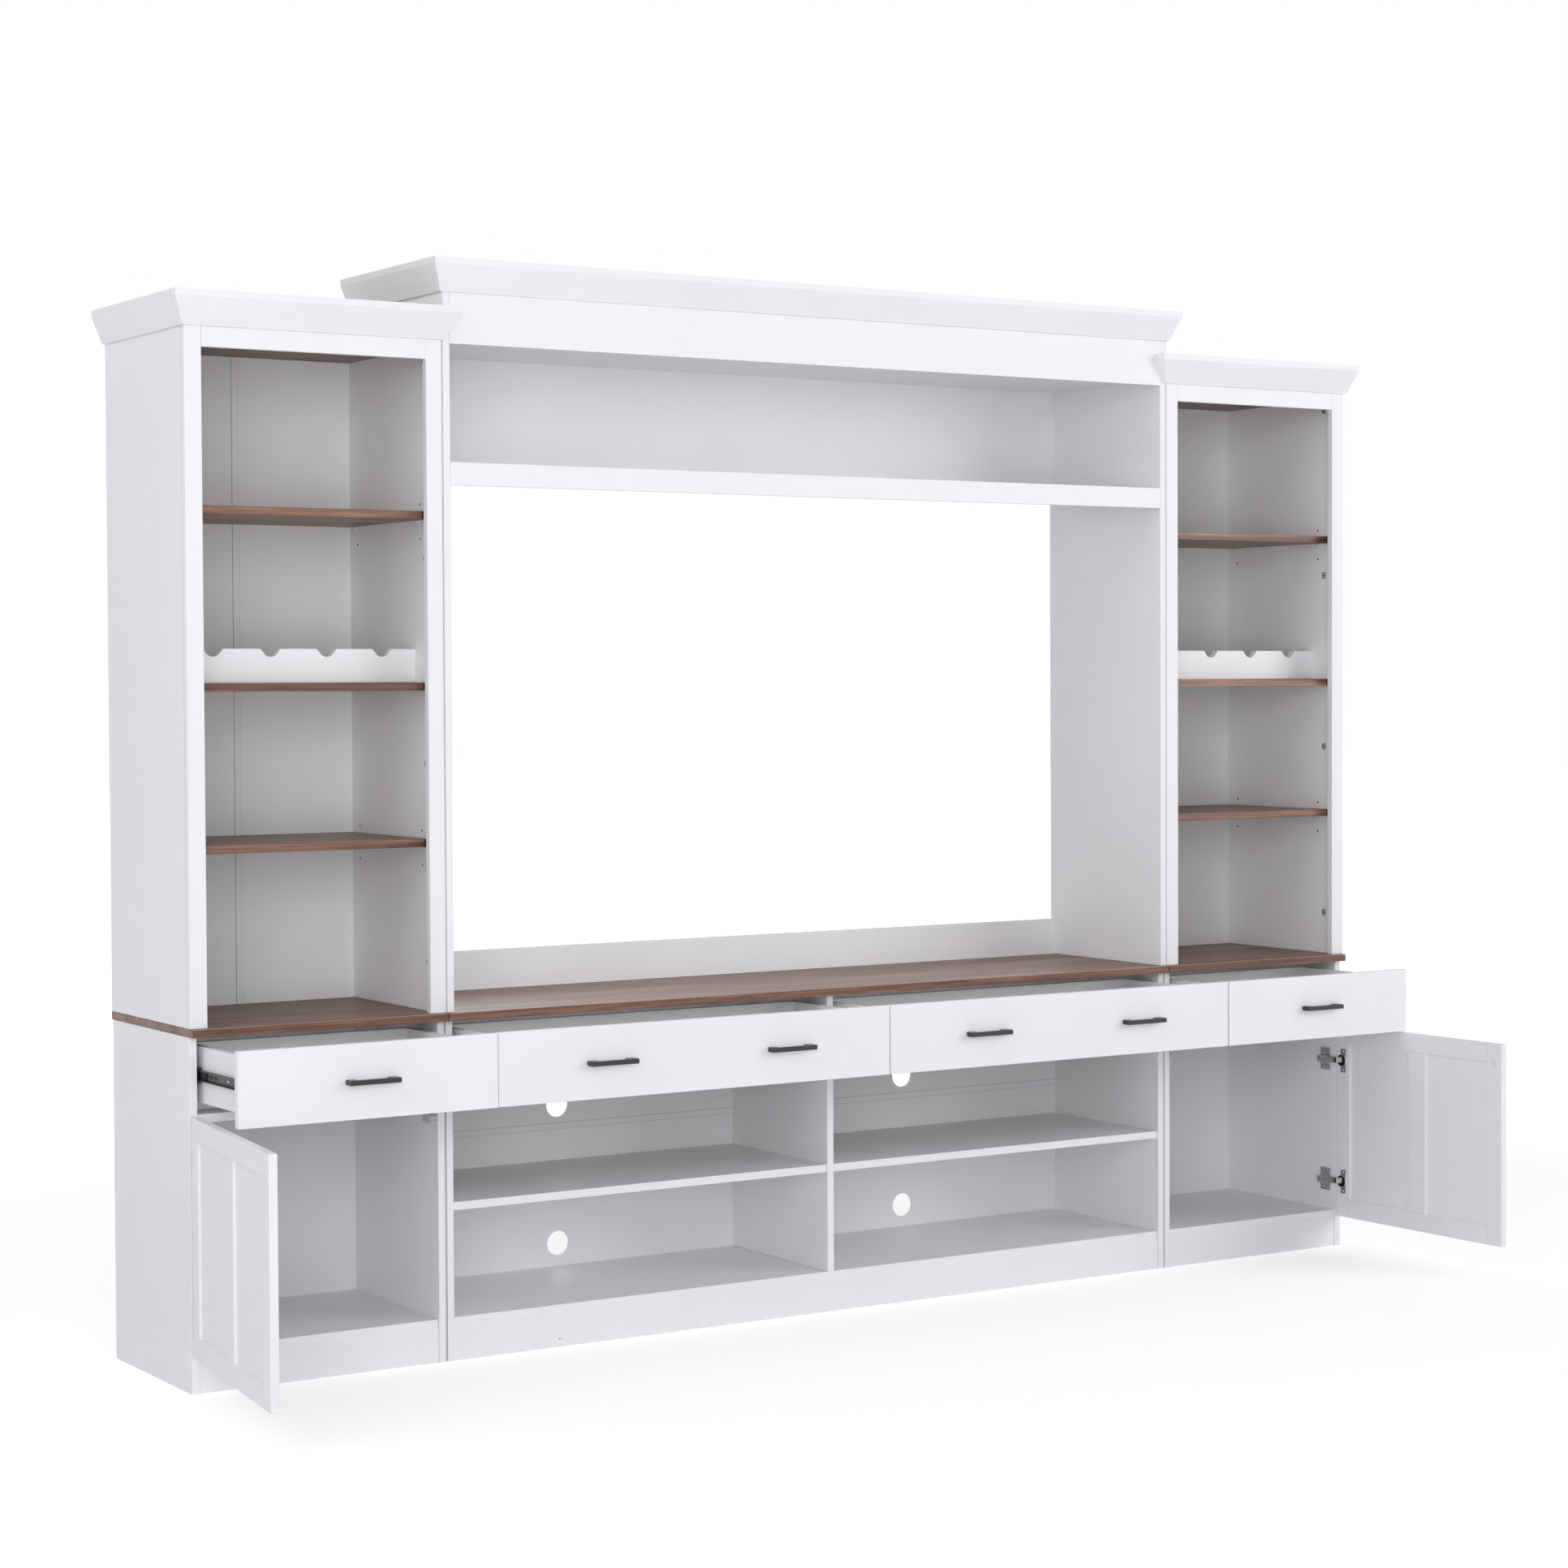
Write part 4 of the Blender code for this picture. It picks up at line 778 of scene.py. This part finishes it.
def dress_nodes():
    """Gives each CAD node its finish."""
    slots = {part["node"]: part["material_slot"] for part in frame["record"]["subparts"]}
    for number, node in enumerate(sorted(frame["nodes"])):
        mesh = frame["nodes"][node].data
        mesh.materials.clear()
        mesh.materials.append(node_finish(node, number, slots[node]))


def slide_spans():
    """For each node that carries slide members, the spans along X that only they fill."""
    spans = {"console_partition": []}
    for side, sign in SIDE_SIGNS.items():
        outer, outer_way = tower_board(sign, "outer")
        inner, inner_way = tower_board(sign, "inner")
        console = sign * (HALF_CONSOLE - BOARD)
        partition = sign * BOARD / 2
        carried = {
            f"{side}_base_outer_side": (outer, outer_way),
            f"{side}_base_inner_side": (inner, inner_way),
            f"console_{side}_side": (console, -sign),
            "console_partition": (partition, sign),
        }
        for node, (face, way) in carried.items():
            span = sorted((face + way * TRIM_GAP, face + way * SLIDE_SPACE))
            spans.setdefault(node, []).append(span)
        bays = {f"{side}_tower": sorted((outer, inner)), f"{side}_console": sorted((partition, console))}
        for bay, (low, high) in bays.items():
            spans[f"{bay}_drawer_box"] = [
                (low, low + SLIDE_SPACE - TRIM_GAP),
                (high - SLIDE_SPACE + TRIM_GAP, high),
            ]
    return spans


def add_back_strips():
    """The H section that joins two halves of a thin back: a flat strip with a fine line of painted shadow on
    either hand.

    The painted shadow line on a tower strip's left is twice as wide as the one on its right.
    """
    materials = [FINISHES["white_board"], FINISHES["seam"]]
    back = FRONT + HUTCH_BACK_FACE - TRIM_GAP
    half = STRIP_WIDTH / 2
    low_z, high_z = HUTCH_BACK_HEIGHTS
    for side, sign in SIDE_SIGNS.items():
        bm = bmesh.new()
        middle = tower_middle(sign) - TOWER_STRIP_OFFSET
        add_bar(bm, (middle - half, back - STRIP_PROUD, low_z), (middle + half, back, high_z))
        # Painted shadow lines along the strip's edges, the left one twice as wide
        line = back - STRIP_PROUD / 2
        add_bar(bm, (middle - half - STRIP_LINE, line, low_z), (middle - half, back, high_z), 1)
        add_bar(bm, (middle + half, line, low_z), (middle + half + STRIP_LINE / 2, back, high_z), 1)
        add_piece(f"{side}_hutch_back_strip", bm, materials, "cabinet")
    back = FRONT + BASE_BACK_FACE - TRIM_GAP
    for side, sign in SIDE_SIGNS.items():
        bm = bmesh.new()
        x = sorted((sign * (BOARD / 2 + TRIM_GAP), sign * (HALF_CONSOLE - BOARD - TRIM_GAP)))
        low_z, high_z = CONSOLE_STRIP_HEIGHT - half, CONSOLE_STRIP_HEIGHT + half
        add_bar(bm, (x[0], back - STRIP_PROUD, low_z), (x[1], back, high_z))
        # Painted shadow lines along the strip's upper and lower edges
        line = back - STRIP_PROUD / 2
        add_bar(bm, (x[0], line, high_z), (x[1], back, high_z + STRIP_LINE / 2), 1)
        add_bar(bm, (x[0], line, low_z - STRIP_LINE / 2), (x[1], back, low_z), 1)
        add_piece(f"{side}_console_back_strip", bm, materials, "cabinet")


def add_cams():
    """The cam heads near the front edges of the hutches' side boards, each on a dark disc of painted shade for its
    bore.
    """
    materials = [FINISHES["cam"], FINISHES["recess"]]
    for side, sign in SIDE_SIGNS.items():
        for hand in ("outer", "inner"):
            face, way = tower_board(sign, hand)
            inward = (way, 0, 0)
            bm = bmesh.new()
            for height in CAM_HEIGHTS:
                centre = (face, FRONT + CAM_DEPTH, height)
                bore = (face, FRONT + CAM_DEPTH + CAM_OFFSET, height)
                # Dark disc round the cam head: painted shade of its bore
                add_ring(bm, bore, inward, CAM_GAP_RADIUS, CAM_GAP_PROUD)
                add_head(bm, centre, inward, CAM_RADIUS, CAM_PROUD)
            add_piece(f"{side}_{hand}_cams", bm, materials, "cabinet")


def add_hinge_fittings():
    """The plate's four screws and the arm's adjusters, each in a dark ring of painted shadow, and the flange's two
    screws.

    An adjuster is given by how far it lies behind the hinge's axis, and by its radius.
    """
    materials = [FINISHES["nickel"], FINISHES["recess"]]
    middle = FRONT + PLATE_START + PLATE_LENGTH / 2
    for side, sign in SIDE_SIGNS.items():
        hinge, along, normal = door_frame(side)
        inward = (-sign, 0, 0)
        flange = hinge + along * (FLANGE_INSET - PIVOT_INSET) + normal * (PIVOT_DEPTH + FLANGE_THICKNESS)
        for level, height in HINGE_HEIGHTS.items():
            bm = bmesh.new()
            face = hinge.x - sign * PLATE_FACE
            for up in (-1, 1):
                for back in (-1, 1):
                    centre = (face, middle + back * PLATE_SCREW_SPREAD, height + up * PLATE_SCREW_RISE)
                    # Dark disc under each head: painted shadow
                    add_ring(bm, centre, inward, SCREW_RING_RADIUS, SCREW_RING_PROUD)
                    add_head(bm, centre, inward, SCREW_RADIUS, SCREW_PROUD)
            face = hinge.x - sign * ARM_TOP
            for back, radius in ADJUSTERS:
                centre = (face, hinge.y + back, height)
                add_ring(bm, centre, inward, radius * ADJUSTER_RING_SHARE, SCREW_RING_PROUD)
                add_head(bm, centre, inward, radius, ADJUSTER_PROUD)
            add_piece(f"{side}_{level}_hinge_screws", bm, materials, "cabinet")
            bm = bmesh.new()
            for up in (-1, 1):
                centre = (flange.x, flange.y, height + up * FLANGE_SCREW_SPREAD)
                add_head(bm, centre, normal, SCREW_RADIUS, SCREW_PROUD)
            add_piece(f"{side}_{level}_cup_screws", bm, materials, f"{side}_door")


def add_catch_screws():
    """The screw that stands in each catch's recess, a little below its face."""
    for side, sign in SIDE_SIGNS.items():
        face = sign * (HALF_WIDTH - TOWER_WIDTH + BOARD + CATCH_PROJECTION)
        bm = bmesh.new()
        sunk = face - sign * CATCH_SCREW_DEPTH
        centre = (sunk, FRONT + CATCH_SCREW_PLACE, CATCH_HEIGHT)
        add_head(bm, centre, (sign, 0, 0), CATCH_SCREW_RADIUS, CATCH_SCREW_TALL)
        add_piece(f"{side}_catch_screw", bm, [FINISHES["nickel"], FINISHES["recess"]], "cabinet")


def add_dots():
    """The pale plug in the left counter, and the small dark mark on the console's plinth, painted shade for a
    small dimple.
    """
    bm = bmesh.new()
    centre = (*PLUG_PLACE, COUNTER_TOP)
    add_turned(bm, centre, (0, 0, 1), PLUG_RADIUS, PLUG_PROUD, DISC_PROFILE_SHARES, ALL_FIRST)
    add_piece("left_counter_plug", bm, [FINISHES["white_plastic"]], "cabinet")
    bm = bmesh.new()
    centre = (MARK_PLACE[0], PLINTH_FRONT, MARK_PLACE[1])
    add_turned(bm, centre, (0, -1, 0), MARK_RADIUS, MARK_PROUD, DISC_PROFILE_SHARES, ALL_FIRST)
    # Dark disc for the plinth's dimple: painted shade
    add_piece("plinth_mark", bm, [FINISHES["seam"]], "cabinet")


def add_slide_fittings():
    """A rivet, punched slots whose floors are painted dark as painted shade, and the black plastic ball cage's end
    in the web of each drawer's slide members.
    """
    slotted = [FINISHES["black_metal"], FINISHES["recess"]]
    riveted = [FINISHES["nickel"], FINISHES["black_metal"]]
    punched = (PUNCHED_PROFILE_SHARES, TOP_SECOND, PUNCHED_STRETCH)
    low_z, high_z = SLIDE_HEIGHT - CAGE_HALF_TALL, SLIDE_HEIGHT + CAGE_HALF_TALL
    for side in SIDE_SIGNS:
        for unit in ("tower", "console"):
            drawer = f"{side}_{unit}_drawer"
            low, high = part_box(f"{drawer}_box")
            for hand, web, way in (("left", low[0] + SLIDE_WEB, -1), ("right", high[0] - SLIDE_WEB, 1)):
                slide = f"{side}_{unit}_{hand}_slide"
                outward = (way, 0, 0)
                bm = bmesh.new()
                # Each slot's floor is in the dark finish: painted shade in the hole
                for back in PUNCHED_PLACES:
                    spot = (web, low[1] + back, SLIDE_HEIGHT)
                    add_turned(bm, spot, outward, PUNCHED_RADIUS, PUNCHED_PROUD, *punched)
                add_piece(f"{slide}_slots", bm, slotted, drawer)
                bm = bmesh.new()
                centre = (web, low[1] + RIVET_PLACE, SLIDE_HEIGHT)
                add_ring(bm, centre, outward, RIVET_RING_RADIUS, RIVET_RING_PROUD)
                add_turned(bm, centre, outward, RIVET_RADIUS, RIVET_PROUD, HEAD_PROFILE_SHARES, ALL_FIRST)
                add_piece(f"{slide}_rivet", bm, riveted, drawer)
                bm = bmesh.new()
                near, far = [low[1] + back for back in CAGE_ENDS]
                x = sorted((web, web + way * CAGE_DEPTH))
                add_bar(bm, (x[0], near, low_z), (x[1], far, high_z))
                bmesh.ops.bevel(
                    bm,
                    geom=bm.edges[:],
                    offset=CAGE_ROUNDING,
                    segments=CAGE_ROUNDING_STEPS,
                    profile=CAGE_ROUNDING_SHARE,
                    affect="EDGES",
                )
                add_piece(f"{slide}_cage", bm, [FINISHES["recess"]], drawer)


def add_camera():
    """The photograph's camera: its place and turn, its lens, and the shift of the picture's centre."""
    level_share = cos(CAMERA_PITCH)
    forward = Vector((sin(CAMERA_YAW) * level_share, cos(CAMERA_YAW) * level_share, sin(CAMERA_PITCH)))
    level = Vector((cos(CAMERA_YAW), -sin(CAMERA_YAW), 0))
    upright = level.cross(forward)
    right = cos(CAMERA_ROLL) * level + sin(CAMERA_ROLL) * upright
    up = -sin(CAMERA_ROLL) * level + cos(CAMERA_ROLL) * upright
    camera = bpy.data.cameras.new("photo_camera")
    camera.sensor_width = SENSOR_WIDTH
    camera.sensor_fit = "HORIZONTAL"
    camera.lens = FOCAL_PIXELS / IMAGE_SIZE * SENSOR_WIDTH
    camera.shift_x = (IMAGE_SIZE / 2 - PRINCIPAL_POINT[0]) / IMAGE_SIZE
    camera.shift_y = (PRINCIPAL_POINT[1] - IMAGE_SIZE / 2) / IMAGE_SIZE
    obj = bpy.data.objects.new("photo_camera", camera)
    rotation = Matrix((right, up, -forward)).transposed().to_4x4()
    obj.matrix_world = Matrix.Translation(CAMERA_PLACE) @ rotation
    bpy.context.scene.collection.objects.link(obj)
    bpy.context.scene.camera = obj


def add_lamps():
    """Square soft lamps, each turned to its target."""
    for name, (place, target, size, energy) in LAMPS.items():
        light = bpy.data.lights.new(name, "AREA")
        light.shape = "SQUARE"
        light.size = size
        light.energy = energy
        obj = bpy.data.objects.new(name, light)
        obj.location = place
        obj.rotation_euler = (Vector(target) - Vector(place)).to_track_quat("-Z", "Y").to_euler()
        bpy.context.scene.collection.objects.link(obj)


def camera_white(nodes, links):
    """1 for rays from the camera, mirrors and glass, which see a white room, and 0 for the rest."""
    path = nodes.new("ShaderNodeLightPath")
    first = nodes.new("ShaderNodeMath")
    first.operation = "MAXIMUM"
    links.new(path.outputs["Is Camera Ray"], first.inputs[0])
    links.new(path.outputs["Is Glossy Ray"], first.inputs[1])
    second = nodes.new("ShaderNodeMath")
    second.operation = "MAXIMUM"
    links.new(first.outputs[0], second.inputs[0])
    links.new(path.outputs["Is Transmission Ray"], second.inputs[1])
    return second.outputs[0]


def add_world():
    """A soft cool light from all round, seen as plain white by the camera and in reflections."""
    world = bpy.data.worlds.new("studio")
    bpy.context.scene.world = world
    world.use_nodes = True
    nodes = world.node_tree.nodes
    links = world.node_tree.links
    soft = nodes["Background"]
    soft.inputs["Color"].default_value = (*AMBIENT, 1)
    soft.inputs["Strength"].default_value = AMBIENT_STRENGTH
    plain = nodes.new("ShaderNodeBackground")
    plain.inputs["Color"].default_value = WHITE
    plain.inputs["Strength"].default_value = WHITE_STRENGTH
    choose = nodes.new("ShaderNodeMixShader")
    links.new(camera_white(nodes, links), choose.inputs[0])
    links.new(soft.outputs[0], choose.inputs[1])
    links.new(plain.outputs[0], choose.inputs[2])
    links.new(choose.outputs[0], nodes["World Output"].inputs["Surface"])


def add_floor():
    """A pale floor with the object's soft shadow, which the camera sees as white where no lamp reaches."""
    bm = bmesh.new()
    bmesh.ops.create_grid(bm, x_segments=1, y_segments=1, size=FLOOR_SIZE / 2)
    mesh = bpy.data.meshes.new("studio_floor")
    bm.to_mesh(mesh)
    bm.free()
    floor = bpy.data.objects.new("studio_floor", mesh)
    bpy.context.scene.collection.objects.link(floor)
    graph = Graph("studio_floor")
    graph.shader.inputs["Base Color"].default_value = FLOOR_GREY
    graph.shader.inputs["Roughness"].default_value = FLOOR_ROUGHNESS
    seen = camera_white(graph.nodes, graph.links)
    x, y, z = graph.axes()
    glow = graph.remap(graph.length(x, y), *FLOOR_GLOWS, FLOOR_NEAR, FLOOR_FAR)
    graph.shader.inputs["Emission Color"].default_value = WHITE
    graph.feed(graph.shader.inputs["Emission Strength"], graph.math("MULTIPLY", seen, glow))
    mesh.materials.append(graph.material)


SLIDE_SPANS = slide_spans()
FINISHES = make_finishes()
bpy.context.scene.view_settings.view_transform = "Standard"
dress_nodes()
add_back_strips()
add_cams()
add_hinge_fittings()
add_catch_screws()
add_slide_fittings()
add_dots()
add_world()
add_floor()
add_lamps()
add_camera()
